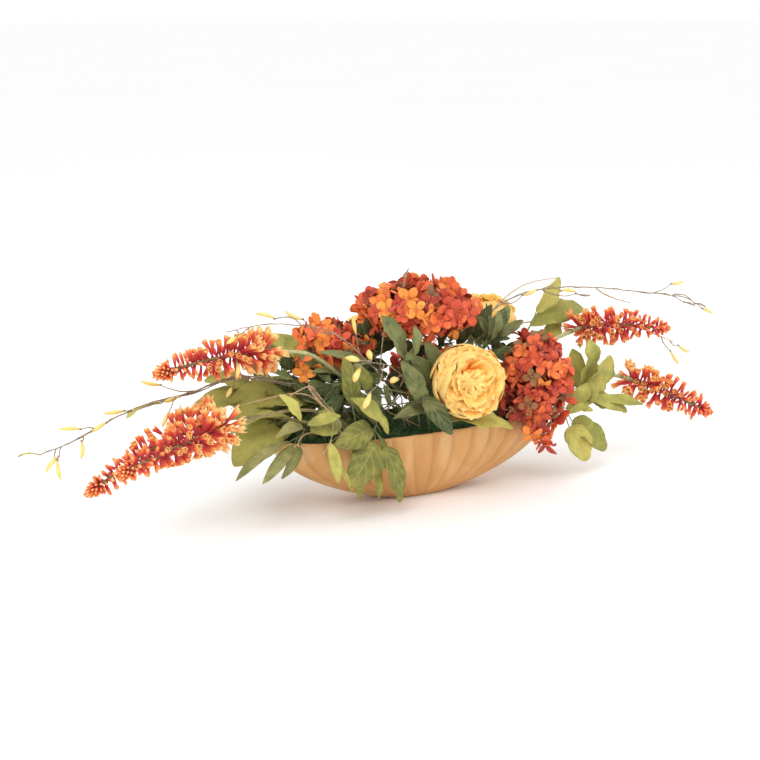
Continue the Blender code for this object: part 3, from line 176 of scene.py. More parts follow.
# Twigs. strands: thin twigs wound round the stem; pods, buds: side twigs, as their foot and their tip
SPRAYS = {
    "spray_left_long": dict(
        radius=1.9, strands=2,
        stem=[(-48, -8, 52), (-64, -10, 100), (-118, -4, 142), (-174, 0, 166), (-270, 0, 186),
              (-324, -10, 178), (-375, -20, 172), (-440, -34, 163), (-502, -50, 144), (-532, -57, 139)],
        leaves=[
            leaf(0.63, (-376, -22, 170), (-430, -44, 162), 17, (0, 0.4, 1)),
            leaf(1.0, (-544, -62, 137), (-574, -70, 141), 7)],
        pods=[((-324, -10, 178), (-394, -2, 196)), ((-350, -15, 175), (-388, -52, 148)),
              ((-440, -34, 163), (-476, -42, 150)), ((-408, -26, 168), (-450, -20, 166)),
              ((-488, -46, 149), (-494, -58, 124)), ((-502, -50, 144), (-540, -66, 116)),
              ((-520, -55, 140), (-526, -78, 108)), ((-470, -41, 155), (-512, -38, 158)),
              ((-330, -12, 177), (-373, -24, 172)), ((-262, -2, 186), (-297, -40, 172))]),
    "spray_left_arc": dict(
        radius=1.3,
        stem=[(-26, -22, 50), (-32, -28, 100), (-74, -46, 168), (-117, -52, 213), (-150, -48, 240),
              (-190, -38, 252), (-236, -22, 255), (-282, -12, 248)],
        pods=[((-190, -38, 252), (-250, -30, 271)), ((-150, -48, 240), (-206, -22, 270)),
              ((-117, -52, 213), (-128, -58, 262)), ((-270, -16, 249), (-293, -62, 200)),
              ((-250, -20, 252), (-304, -58, 243))],
        buds=[((-84, -50, 178), (-25, -24, 311))]),
    "spray_right_long": dict(
        radius=1.55,
        stem=[(58, 22, 50), (66, 26, 100), (104, 22, 170), (134, 30, 222), (193, 40, 247), (272, 50, 250),
              (346, 50, 243), (416, 50, 232), (489, 50, 219)],
        pods=[((163, 34, 236), (222, 36, 254)), ((416, 50, 232), (506, 56, 240)),
              ((489, 50, 219), (566, 56, 184)), ((478, 52, 152), (519, 50, 130)),
              ((462, 54, 158), (493, 44, 115)), ((240, 46, 251), (294, 40, 243))],
        buds=[((480, 50, 221), (548, 50, 196)), ((452, 50, 226), (528, 52, 200)),
              ((240, 46, 251), (320, 40, 236))],
        tendrils=[
            [(337, 50, 243), (346, 44, 236), (368, 42, 226), (392, 40, 219)],
            [(104, 22, 170), (128, 20, 224), (174, 22, 258), (225, 38, 265), (262, 40, 266)],
            [(150, 34, 205), (230, 70, 200), (330, 80, 194), (420, 72, 176), (455, 58, 163),
             (486, 52, 149)]]),
    "spray_middle": dict(
        radius=1.2, plump=1.5,
        stem=[(-12, -32, 50), (-16, -38, 100), (-40, -58, 156), (-78, -74, 192), (-112, -82, 204),
              (-146, -88, 205)],
        pods=[((-112, -82, 204), (-160, -96, 218)), ((-129, -85, 205), (-152, -104, 188)),
              ((-95, -78, 199), (-140, -104, 152)), ((-59, -67, 176), (-92, -92, 178)),
              ((-112, -82, 204), (-119, -84, 222))],
        tendrils=[
            [(-16, -38, 100), (-48, -12, 117), (-43, -10, 127), (-33, -10, 143), (-22, -10, 164)],
            [(-12, -32, 60), (-26, -12, 120), (-30, -14, 136), (-46, -14, 158), (-66, -14, 174)]]),
    "spray_rim_curl": dict(
        radius=1.1,
        stem=[(-124, -34, 60), (-134, -38, 100), (-168, -46, 152), (-192, -76, 176), (-190, -94, 166),
              (-172, -98, 142), (-166, -98, 116)],
        tendrils=[
            [(-168, -46, 152), (-200, -80, 182), (-211, -96, 185), (-198, -96, 168), (-182, -98, 149),
             (-179, -98, 129), (-183, -98, 113), (-193, -98, 99)],
            [(-160, -44, 140), (-186, -60, 176), (-210, -62, 174), (-222, -60, 164), (-214, -60, 150)],
            [(-154, -40, 116), (-200, -64, 118), (-218, -78, 110), (-213, -80, 106), (-207, -80, 86)],
            [(-134, -38, 100), (-170, -50, 150), (-200, -52, 168), (-245, -50, 167), (-296, -50, 160)]]),
    "spray_back": dict(
        radius=1.4,
        stem=[(-60, 22, 50), (-68, 28, 100), (-96, 66, 124), (-130, 108, 140), (-176, 132, 140)],
        leaves=[
            leaf(0.8, (-140, 114, 138), (-160, 148, 122), 18)],
        pods=[((-130, 108, 140), (-176, 116, 158)), ((-152, 120, 141), (-170, 150, 130)),
              ((-113, 87, 133), (-136, 122, 120))]),
}

# tone: of every leaf that has none of its own, drawn where it is missing; other: the other leaf finish;
# fills: undergrowth as zone, its half sizes, place of its side branch on the stem, its way, leaves
LEAFY_STEMS = {
    "leaves_sage_rim": dict(
        radius=1.6, colour="leaf_sage",
        stem=[(-142, -24, 62), (-154, -28, 100), (-182, -38, 111), (-206, -48, 110)],
        leaves=[
            leaf(1.0, (-216, -52, 108), (-312, -98, 86), 17, (0, -0.5, 1)),
            leaf(0.9, (-213, -56, 104), (-274, -90, 69), 16, (0.1, -0.8, 0.8)),
            leaf(0.8, (-203, -56, 104), (-240, -80, 70), 15, (0.2, -1, 0.5)),
            leaf(0.8, (-191, -44, 118), (-236, -54, 117), 16, (0.2, -0.6, 0.8), arch=0.3)]),
    "leaves_left_low": dict(
        radius=1.8, colour="leaf_olive", tone=0.95,
        stem=[(-118, 10, 60), (-136, 12, 100), (-180, 6, 118), (-205, -4, 122)],
        leaves=[
            leaf(1.0, (-212, -8, 118), (-284, -30, 80), 56, (-0.3, -0.7, 0.7)),
            leaf(0.9, (-200, 0, 126), (-276, -6, 140), 24, (0, -0.4, 1)),
            leaf(0.8, (-196, 14, 116), (-262, 44, 96), 40, (-0.3, 0.4, 0.9)),
            leaf(1.0, (-195, -18, 126), (-282, -34, 130), 14, (0, -0.4, 1), arch=0.16),
            leaf(0.9, (-213, -2, 135), (-277, -10, 142), 20, (0, -0.7, 0.7))],
        fills=[
            ((-176, 14, 132), (26, 12, 16), 0.6, (-0.8, -0.3, 0.1), 12),
            ((-214, 22, 146), (38, 8, 8), 0.9, (-0.7, -0.2, 0.1), 11)]),
    "leaves_left_mid": dict(
        radius=1.8, colour="leaf_olive", tone=0.85,
        stem=[(-86, 20, 55), (-100, 24, 100), (-138, 22, 134), (-172, 16, 150), (-214, 16, 160)],
        leaves=[
            leaf(0.74, (-178, 16, 160), (-270, 8, 152), 44, (-0.1, -0.9, 0.6)),
            leaf(1.0, (-234, 22, 160), (-322, 20, 144), 30, (0, -0.7, 0.8)),
            leaf(0.9, (-230, 32, 166), (-292, 34, 180), 32, (0, -0.6, 0.8)),
            leaf(0.64, (-170, 40, 156), (-236, 80, 150), 40, (0, 0.3, 1)),
            leaf(0.9, (-167, 12, 205), (-220, 4, 234), 27, (0.1, -0.9, 0.4)),
            leaf(0.7, (-161, 0, 142), (-216, -8, 147), 19, (0, -0.7, 0.7)),
            leaf(0.6, (-128, 26, 140), (-226, 28, 144), 46, (0, -0.8, 0.6), tone=0.2)]),
    "leaves_left_high": dict(
        radius=1.6, colour="leaf_dark", tone=0.9,
        stem=[(-66, 34, 55), (-76, 40, 100), (-112, 50, 120), (-156, 46, 146), (-186, 28, 182)],
        leaves=[
            leaf(1.0, (-188, 26, 196), (-222, 34, 234), 32, (0.2, -0.8, 0.5)),
            leaf(0.92, (-184, 10, 176), (-206, -8, 182), 20, (0, -0.7, 0.7)),
            leaf(0.7, (-152, 70, 156), (-186, 108, 166), 30, (0, 0.4, 0.9)),
            leaf(0.6, (-126, -6, 146), (-172, -14, 172), 19, (0, -0.8, 0.6)),
            leaf(0.75, (-112, -8, 178), (-163, -14, 186), 14, (0, -0.7, 0.7)),
            leaf(0.8, (-112, -16, 155), (-142, -22, 167), 15, (0, -0.8, 0.6)),
            leaf(0.85, (-86, -26, 190), (-162, -34, 216), 11, (0, -0.9, 0.4)),
            leaf(0.9, (-144, 6, 187), (-179, 0, 210), 20, (0, -0.9, 0.4)),
            leaf(0.65, (-131, -8, 137), (-177, -14, 151), 16, (0, -0.7, 0.7))],
        fills=[
            ((-118, 22, 162), (30, 12, 22), 0.6, (-0.8, -0.4, 0.3), 15),
            ((-140, 4, 134), (26, 12, 12), 0.4, (-0.8, -0.4, 0.2), 12),
            ((-60, 18, 194), (24, 10, 16), 0.6, (0.3, -0.4, 0.5), 13),
            ((-102, 8, 163), (22, 8, 14), 0.5, (0.2, -0.5, 0.4), 10),
            ((-178, 18, 178), (28, 8, 8), 0.9, (-0.6, -0.4, 0.1), 8),
            ((-124, -38, 168), (22, 6, 12), 0.7, (-0.6, -0.5, 0.3), 7)]),
    "leaves_front_heart": dict(
        radius=1.6, colour="leaf_olive", tone=0.2,
        stem=[(-70, -36, 55), (-80, -44, 100), (-98, -64, 116), (-108, -78, 112)],
        leaves=[
            leaf(0.94, (-116, -84, 120), (-174, -92, 106), 34, (0, -1, 0.3)),
            leaf(1.0, (-112, -88, 100), (-158, -100, 52), 46, (-0.2, -1, 0.2)),
            leaf(0.86, (-99, -88, 94), (-82, -98, 20), 32, (0.3, -1, 0.1)),
            leaf(0.6, (-96, -66, 128), (-130, -62, 160), 26, (0.5, -0.9, 0.3)),
            leaf(0.5, (-130, -62, 150), (-144, -66, 212), 23, (-0.3, -1, 0)),
            leaf(0.55, (-100, -56, 158), (-126, -60, 202), 18, (-0.2, -1, 0.2)),
            leaf(0.9, (-98, -78, 103), (-98, -86, 80), 12, (0.2, -1, 0))]),
    "leaves_front_narrow": dict(
        radius=1.5, colour="leaf_pale",
        stem=[(-92, -50, 62), (-104, -54, 100), (-130, -70, 118), (-160, -80, 126)],
        leaves=[
            leaf(1.0, (-218, -88, 143), (-248, -92, 181), 16, (0.5, -1, 0.3)),
            leaf(0.8, (-214, -97, 139), (-172, -107, 149), 15, (0, -0.8, 0.6)),
            leaf(0.9, (-163, -84, 137), (-208, -94, 131), 35, (-0.1, -0.9, 0.5), other=True, tone=0.35),
            leaf(0.6, (-143, -78, 161), (-94, -92, 111), 24, (0.2, -0.8, 0.6), arch=0.14, tone=0.3),
            leaf(0.8, (-181, -92, 95), (-150, -100, 42), 8, (0.3, -1, 0)),
            leaf(0.82, (-182, -96, 112), (-174, -104, 60), 16, (-0.2, -1, 0)),
            leaf(0.7, (-132, -84, 92), (-140, -92, 30), 14, (0, -1, 0)),
            leaf(0.56, (-116, -80, 88), (-106, -90, 26), 13, (0.1, -1, 0))]),
    "leaves_middle_dark": dict(
        radius=1.6, colour="leaf_dark",
        stem=[(0, -34, 50), (-4, -42, 100), (-26, -58, 146), (-46, -62, 184)],
        leaves=[
            leaf(1.0, (-54, -64, 200), (-98, -76, 262), 30, (0.4, -1, 0.3)),
            leaf(0.92, (-48, -76, 204), (-58, -94, 248), 17, (0.2, -1, 0.3)),
            leaf(0.8, (-38, -84, 152), (-12, -112, 104), 27, (-0.3, -1, 0.3), teeth=9),
            leaf(0.36, (6, -68, 112), (80, -118, 104), 32, (0, -0.5, 1), other=True, teeth=8),
            leaf(0.6, (-34, -34, 138), (-60, 4, 162), 22, (0, 0.3, 1)),
            leaf(0.6, (-110, -58, 170), (-91, -66, 139), 18, (0, -0.9, 0.4)),
            leaf(0.85, (-62, -72, 200), (-39, -76, 220), 11, (0.3, -0.9, 0.2)),
            leaf(0.8, (-34, -78, 143), (-68, -80, 201), 26, (-0.2, -1, 0.2)),
            leaf(0.75, (-5, -54, 164), (-43, -58, 202), 23, (-0.2, -1, 0.2)),
            leaf(0.7, (15, -44, 168), (-14, -48, 216), 23, (-0.2, -1, 0.1)),
            leaf(0.4, (-51, -46, 118), (-18, -44, 139), 19, (0.2, -0.9, 0.4)),
            leaf(0.45, (-26, -66, 125), (-76, -74, 127), 14, (0, -0.7, 0.7), arch=0.2),
            leaf(0.55, (-63, -40, 134), (-72, -40, 164), 8, (-0.3, -1, 0))]),
    "leaves_middle_green": dict(
        radius=1.5, colour="leaf_dark",
        stem=[(46, -8, 50), (54, -6, 100), (76, -10, 150), (84, -22, 186)],
        leaves=[
            leaf(0.92, (84, -46, 208), (62, -80, 250), 17, (0.2, -1, 0.2)),
            leaf(1.0, (94, -40, 206), (92, -62, 248), 18, (0.2, -1, 0.1)),
            leaf(0.84, (106, -14, 204), (146, 2, 238), 20, (0, -0.9, 0.4)),
            leaf(0.72, (84, -48, 184), (98, -88, 200), 18, (0, -0.7, 0.7)),
            leaf(0.9, (91, -36, 205), (57, -62, 247), 14, (0.2, -1, 0.1)),
            leaf(0.9, (124, -10, 204), (162, -18, 223), 16, (0, -0.9, 0.4), teeth=7),
            leaf(0.95, (129, -6, 213), (151, 4, 242), 16, (0, -0.9, 0.2))],
        fills=[
            ((30, -10, 150), (22, 12, 30), 0.4, (-0.2, -0.4, 0.6), 16),
            ((42, -10, 200), (24, 10, 9), 0.8, (0.5, -0.3, 0.3), 8),
            ((118, 2, 190), (28, 12, 16), 0.7, (0.4, -0.2, 0.5), 11)]),
    "leaves_right_high": dict(
        radius=1.8, colour="leaf_pale",
        stem=[(112, 28, 56), (126, 32, 100), (168, 40, 146), (208, 42, 188)],
        leaves=[
            leaf(1.0, (240, 62, 216), (294, 80, 259), 27, (0.3, -0.9, 0.2)),
            leaf(0.9, (229, 62, 196), (348, 88, 213), 36, (-0.2, -0.8, 0.7)),
            leaf(0.78, (214, 58, 168), (290, 84, 178), 34, (0, 0.2, 1)),
            leaf(0.8, (250, 60, 168), (290, 70, 198), 27, (-0.3, -0.9, 0.2))]),
    "leaves_right_mid": dict(
        radius=1.8, colour="leaf_pale", tone=0.42,
        stem=[(138, -14, 62), (152, -14, 100), (200, -14, 110), (256, -14, 106)],
        leaves=[
            leaf(1.0, (268, -16, 122), (282, -16, 184), 40, (0.3, -1, 0)),
            leaf(0.93, (276, -22, 116), (308, -28, 160), 42, (0.3, -1, 0)),
            leaf(0.78, (254, -20, 98), (276, -42, 124), 29, (0, -1, 0.5)),
            leaf(0.86, (278, -14, 102), (320, -22, 82), 29, (0, -0.8, 0.7)),
            leaf(0.68, (292, -22, 98), (364, -34, 84), 17, (0, -0.8, 0.6)),
            leaf(0.85, (272, 0, 114), (261, 2, 170), 31, (-0.2, -1, 0.1)),
            leaf(0.9, (241, -30, 98), (267, -34, 126), 23, (-0.3, -0.9, 0.3)),
            leaf(0.7, (266, -36, 98), (221, -44, 90), 12, (0, -0.8, 0.6)),
            leaf(0.9, (272, -24, 103), (338, -30, 75), 24, (0, -0.8, 0.6))]),
    "leaves_right_low": dict(
        radius=1.7, colour="leaf_pale",
        stem=[(154, -24, 66), (171, -24, 100), (204, -28, 104), (224, -38, 90)],
        leaves=[
            leaf(1.0, (234, -38, 76), (288, -50, 30), 38, (0.3, -1, 0.3)),
            leaf(0.9, (226, -42, 70), (246, -60, 22), 40, (-0.1, -1, 0.3)),
            leaf(0.78, (232, -26, 92), (270, -40, 88), 18, (0, -0.6, 0.8))]),
    "leaves_back_left": dict(
        radius=1.8, colour="leaf_olive",
        stem=[(-92, 34, 58), (-104, 40, 100), (-126, 66, 112), (-142, 84, 108)],
        leaves=[
            leaf(1.0, (-152, 92, 100), (-196, 108, 60), 40, (-0.4, 0.8, 0.4)),
            leaf(0.9, (-142, 98, 96), (-138, 122, 44), 38, (0, 1, 0.3)),
            leaf(0.7, (-112, 84, 104), (-92, 108, 66), 30, (0.2, 1, 0.4)),
            leaf(0.8, (-146, 72, 112), (-204, 76, 104), 34, (-0.2, 0.4, 1))]),
    "leaves_back_mid": dict(
        radius=1.7, colour="leaf_dark",
        stem=[(6, 42, 58), (8, 50, 100), (8, 70, 106), (6, 84, 100)],
        leaves=[
            leaf(0.9, (0, 92, 92), (-32, 112, 46), 36, (-0.2, 1, 0.3)),
            leaf(1.0, (14, 92, 92), (44, 116, 50), 36, (0.2, 1, 0.3)),
            leaf(0.7, (-8, 78, 104), (-62, 108, 84), 30, (0, 0.7, 0.8))],
        fills=[
            ((-20, 66, 116), (56, 18, 14), 0.7, (0, 0.6, 0.5), 12)]),
    "leaves_back_right": dict(
        radius=1.8, colour="leaf_olive",
        stem=[(120, 34, 62), (132, 40, 100), (154, 58, 110), (172, 76, 108)],
        leaves=[
            leaf(1.0, (184, 82, 102), (236, 96, 70), 38, (0.4, 0.7, 0.5)),
            leaf(0.9, (172, 88, 98), (168, 112, 48), 36, (0, 1, 0.3)),
            leaf(0.7, (154, 74, 104), (134, 106, 78), 28, (-0.1, 1, 0.5)),
            leaf(0.8, (182, 64, 112), (240, 60, 118), 32, (0, 0.2, 1))]),
}




# ---- small helpers ----
def vec(point):
    """A layout point in millimetres as an array in metres."""
    return np.array(point, float) * MM


def unit(v):
    return v / np.linalg.norm(v)


def square_to(axis, hint):
    """Unit vector nearest to hint that is square to axis."""
    flat = np.asarray(hint, float) - axis * np.dot(hint, axis)
    if np.linalg.norm(flat) < 1e-6:
        flat = np.cross(axis, (0.0, 0.6, 0.8))
    return unit(flat)


def turned(axis, angle):
    """Unit vector square to axis, turned round it by an angle."""
    u = square_to(axis, (0.3, 0.2, 1.0))
    return u * math.cos(angle) + np.cross(axis, u) * math.sin(angle)


def circle(u, v, sides):
    """Directions round a circle that starts at u and turns towards v."""
    angles = 2 * math.pi * np.arange(sides) / sides
    return np.outer(np.cos(angles), u) + np.outer(np.sin(angles), v)


def between(table, share):
    """The value of a table of (share, value) rows at a share, on straight lines between rows."""
    return np.interp(share, [row[0] for row in table], [row[1] for row in table])


def smooth_path(points, steps=6):
    """Points along a smooth curve; the first stretch, which stands in its hole, stays straight."""
    ends = list(points) + [points[-1] * 2 - points[-2]]
    path = [points[0], points[1]]
    for i in range(1, len(points) - 1):
        a, b, c, d = ends[i - 1], ends[i], ends[i + 1], ends[i + 2]
        for k in range(1, steps + 1):
            t = k / steps
            path.append(0.5 * (2 * b + (c - a) * t + (2 * a - 5 * b + 4 * c - d) * t ** 2
                               + (3 * b - a - 3 * c + d) * t ** 3))
    return np.array(path)


def distances(path):
    """How far along a path each of its points lies."""
    return np.concatenate(((0.0,), np.cumsum(np.linalg.norm(np.diff(path, axis=0), axis=1))))


def at_distances(path, travelled, places):
    """Points of a path at places along it."""
    return np.column_stack([np.interp(places, travelled, values) for values in path.T])


def even_path(path, count):
    """The same curve through points that are the same distance apart."""
    travelled = distances(path)
    return at_distances(path, travelled, np.linspace(0.0, travelled[-1], count))


def place_along(points, share):
    """The place a share of the way along a stem, counted as the CAD counts it: two steps a point."""
    path = smooth_path(points, steps=2)
    spot = share * (len(path) - 1)
    i = min(int(spot), len(path) - 2)
    return path[i] + (path[i + 1] - path[i]) * (spot - i)


def nearest(path, spot):
    """The point of a path that lies nearest to a spot."""
    return path[np.argmin(np.linalg.norm(path - spot, axis=1))]


def column(count):
    """Even shares from 0 to 1, one to a row."""
    return np.linspace(0, 1, count)[:, None]


def arc(start, bend, end, t):
    """Places on the curve from start to end that is pulled towards bend."""
    return start * (1 - t) ** 2 + bend * 2 * t * (1 - t) + end * t ** 2


def bezier(knots, steps):
    """A smooth line with four control points."""
    a, b, c, d = (np.asarray(knot, float)[None] for knot in knots)
    t = column(steps)
    return a * (1 - t) ** 3 + 3 * b * t * (1 - t) ** 2 + 3 * c * t ** 2 * (1 - t) + d * t ** 3


class Shape:
    """Points, faces and paint of one piece, gathered part by part."""

    def __init__(self):
        self.points, self.paint, self.faces = [], [], []
        self.slots, self.smooth = [], []
        self.size = 0

    def keep(self, points, along, across, tone):
        """Store a grid of points with its paint; returns the grid of their numbers."""
        rows, columns = points.shape[:2]
        paint = np.empty((rows, columns, 3))
        paint[..., 0] = np.reshape(along, (-1, 1))
        paint[..., 1] = across
        paint[..., 2] = tone
        self.points.append(points.reshape(-1, 3))
        self.paint.append(paint.reshape(-1, 3))
        numbers = self.size + np.arange(rows * columns).reshape(rows, columns)
        self.size += rows * columns
        return numbers

    def quads(self, left, right, slot, smooth=True):
        """Faces between two columns, or blocks of columns, of point numbers."""
        made = np.stack((left[:-1], right[:-1], right[1:], left[1:]), axis=-1).reshape(-1, 4)
        self.faces += made.tolist()
        self.slots += [slot] * len(made)
        self.smooth += [smooth] * len(made)

    def cap(self, numbers, slot):
        self.faces.append([int(n) for n in numbers])
        self.slots.append(slot)
        self.smooth.append(False)

    def tube(self, path, radii, sides, slot=0, tone=0.5):
        """A closed tube; radii holds one radius for each point, or the two ends of an even taper."""
        path = np.asarray(path)
        radii = np.asarray(radii, float)
        if len(radii) != len(path):
            radii = np.linspace(radii[0], radii[-1], len(path))
        ahead = np.gradient(path, axis=0)
        ahead /= np.linalg.norm(ahead, axis=1)[:, None]
        over = square_to(ahead[0], (0.1, 0.2, 1.0))
        rings = []
        for centre, radius, axis in zip(path, radii, ahead):
            over = square_to(axis, over)
            rings.append(centre + radius * circle(over, np.cross(axis, over), sides))
        along = distances(path)
        numbers = self.keep(np.array(rings), along / along[-1], np.linspace(0, 1, sides)[None], tone)
        self.quads(numbers, np.roll(numbers, -1, axis=1), slot)
        self.cap(numbers[0][::-1], slot)
        self.cap(numbers[-1], slot)

    def sheet(self, points, thickness, slot=0, tone=0.5, closed=False):
        """A thin sheet with two faces and a rim; closed joins its last column to its first."""
        rows, columns = points.shape[:2]
        down = np.gradient(points, axis=0)
        if closed:
            out = np.roll(points, -1, axis=1) - np.roll(points, 1, axis=1)
        else:
            out = np.gradient(points, axis=1)
        normals = np.cross(out, down)
        normals /= np.maximum(np.linalg.norm(normals, axis=2), 1e-12)[..., None]
        along = np.linspace(0, 1, rows)
        across = np.linspace(-1, 1, columns)[None]
        front = self.keep(points + normals * thickness / 2, along, across, tone)
        back = self.keep(points - normals * thickness / 2, along, across, tone)
        if closed:
            front = np.column_stack((front, front[:, 0]))
            back = np.column_stack((back, back[:, 0]))
        self.quads(front[:, :-1], front[:, 1:], slot)
        self.quads(back[:, 1:], back[:, :-1], slot)
        if not closed:
            self.quads(back[:, 0], front[:, 0], slot, smooth=False)
            self.quads(front[:, -1], back[:, -1], slot, smooth=False)
        self.quads(front[0], back[0], slot, smooth=False)
        self.quads(back[-1], front[-1], slot, smooth=False)

    def ball(self, centre, radius, slot=0, tone=0.5):
        """A small round bead."""
        heights = np.cos(np.linspace(math.pi, 0, 6))
        path = np.asarray(centre) + np.outer(heights * radius, (0, 0, 1))
        self.tube(path, np.maximum(np.sqrt(1 - heights ** 2), 0.08) * radius, 6, slot, tone)


def pick(finishes, *kinds):
    return [finishes[kind] for kind in kinds]


def add_object(name, data):
    """A new object in the scene."""
    made = bpy.data.objects.new(name, data)
    bpy.context.scene.collection.objects.link(made)
    return made


def make_piece(name, shape, skins, node):
    """Turn a shape into a piece that rides on the frame and stands for a CAD node."""
    mesh = bpy.data.meshes.new(name)
    mesh.from_pydata(np.concatenate(shape.points).tolist(), [], shape.faces)
    mesh.attributes.new("paint", "FLOAT_VECTOR", "POINT").data.foreach_set(
        "vector", np.concatenate(shape.paint).ravel())
    for skin in skins:
        mesh.materials.append(skin)
    mesh.polygons.foreach_set("material_index", shape.slots)
    mesh.polygons.foreach_set("use_smooth", shape.smooth)
    piece = add_object(name, mesh)
    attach(piece, "root")
    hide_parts(node)


# ---- materials ----
class Paint:
    """One material: its node tree, with short calls for the nodes that this script uses."""

    def __init__(self, name, **constants):
        self.material = bpy.data.materials.new(name)
        self.material.use_nodes = True
        self.tree = self.material.node_tree
        self.shader = self.tree.nodes["Principled BSDF"]
        for socket, value in constants.items():
            self.shader.inputs[socket.replace("_", " ")].default_value = value

    def node(self, kind, inputs=(), **settings):
        made = self.tree.nodes.new("ShaderNode" + kind)
        for key, value in settings.items():
            setattr(made, key, value)
        for key, value in dict(inputs).items():
            self.plug(made.inputs[key], value)
        return made

    def plug(self, socket, value):
        if isinstance(value, bpy.types.NodeSocket):
            self.tree.links.new(value, socket)
        else:
            socket.default_value = value

    def paint(self):
        """The three values of the point attribute: along, across and tone."""
        values = self.node("Attribute", attribute_name="paint").outputs["Vector"]
        return self.node("SeparateXYZ", {0: values}).outputs

    def math(self, operation, first, second=0.0):
        return self.node("Math", {0: first, 1: second}, operation=operation).outputs[0]

    def noise(self, scale, detail=3.0, stretch=(1, 1, 1)):
        """Noise in object space from 0 to 1; scale is its number of spots to a metre."""
        place = self.node("TexCoord").outputs["Object"]
        place = self.node("Mapping", {"Vector": place, "Scale": stretch}).outputs[0]
        return self.node("TexNoise", {"Vector": place, "Scale": scale, "Detail": detail}).outputs[0]

    def ramp(self, value, stops):
        """Colour by value; stops are (place, linear colour)."""
        made = self.node("ValToRGB", {0: value})
        points = made.color_ramp.elements
        while len(points) < len(stops):
            points.new(0.5)
        for point, (place, colour) in zip(points, stops):
            point.position = place
            point.color = (*colour, 1.0)
        return made.outputs["Color"]

    def grey(self, value, low, high, start=0.0, end=1.0):
        """A number that runs from low to high while the value runs from start to end."""
        return self.node("MapRange", {0: value, 1: start, 2: end, 3: low, 4: high}).outputs[0]

    def mix(self, share, first, second, blend="MIX"):
        made = self.node("Mix", {0: share}, data_type="RGBA", blend_type=blend)
        for socket, value in ((6, first), (7, second)):
            if isinstance(value, tuple):
                value = (*value, 1.0)
            self.plug(made.inputs[socket], value)
        return made.outputs[2]

    def finish(self, colour, roughness, height=None, depth=0.0):
        """Join colour, roughness and, where given, a bump of a depth in metres to the shader."""
        self.plug(self.shader.inputs["Base Color"], colour)
        self.plug(self.shader.inputs["Roughness"], roughness)
        if height is not None:
            bump = self.node("Bump", {"Height": height, "Distance": depth, "Strength": 1.0})
            self.plug(self.shader.inputs["Normal"], bump.outputs[0])
        return self.material


def bowl_finish():
    """Satin gold paint with a fine brushed grain, a painted highlight along each flute's ridge and painted
    shade in the creases between the flutes.
    """
    p = Paint("bowl_gold", Metallic=0.30, Specular_IOR_Level=0.45)
    _, across, _ = p.paint()
    clouds = p.noise(14, 4)
    grain = p.noise(900, 2, (1, 1, 0.12))
    base = p.ramp(clouds, ((0.35, (0.55, 0.272, 0.084)), (0.65, (0.64, 0.335, 0.113))))
    base = p.mix(p.grey(grain, 0.0, 0.25, 0.35, 0.7), base, (0.70, 0.39, 0.15))
    streaks = p.noise(45, 4, (1, 1, 0.18))
    base = p.mix(p.grey(streaks, 0.0, 0.55, 0.50, 0.72), base, (0.76, 0.49, 0.25))
    base = p.mix(p.grey(streaks, 0.35, 0.0, 0.28, 0.45), base, (0.48, 0.22, 0.062))
    # painted highlight along the ridge of each flute
    flute_ridge_highlight = p.math("POWER", across, 4.0)
    base = p.mix(p.grey(flute_ridge_highlight, 0.0, 0.35), base, (0.78, 0.47, 0.21))
    # painted shade in the creases between the flutes and up the rising side of each flute
    base = p.mix(p.grey(across, 0.26, 0.0, 0.0, 0.45), base, (0.36, 0.16, 0.045))
    return p.finish(base, p.grey(grain, 0.42, 0.58, 0.3, 0.7), grain, 0.00008)


def bowl_inside_finish():
    """Dark brown, mottled paint inside the bowl."""
    p = Paint("bowl_inside")
    base = p.ramp(p.noise(60, 4), ((0.3, (0.035, 0.018, 0.010)), (0.7, (0.085, 0.045, 0.025))))
    return p.finish(base, p.grey(p.noise(200, 2), 0.55, 0.8), p.noise(500, 2), 0.0001)


def moss_finish():
    """Preserved moss: deep green at the root of a tuft and fresher at its tips."""
    p = Paint("moss_green")
    along, _, tone = p.paint()
    shade = p.math("ADD", p.math("MULTIPLY", along, 0.55), p.math("MULTIPLY", tone, 0.45))
    base = p.ramp(shade, ((0.0, (0.006, 0.016, 0.005)), (0.35, (0.018, 0.065, 0.016)),
                          (0.7, (0.065, 0.18, 0.036)), (1.0, (0.22, 0.38, 0.085))))
    return p.finish(base, p.grey(p.noise(800), 0.75, 0.95), p.noise(1500, 2), 0.0002)


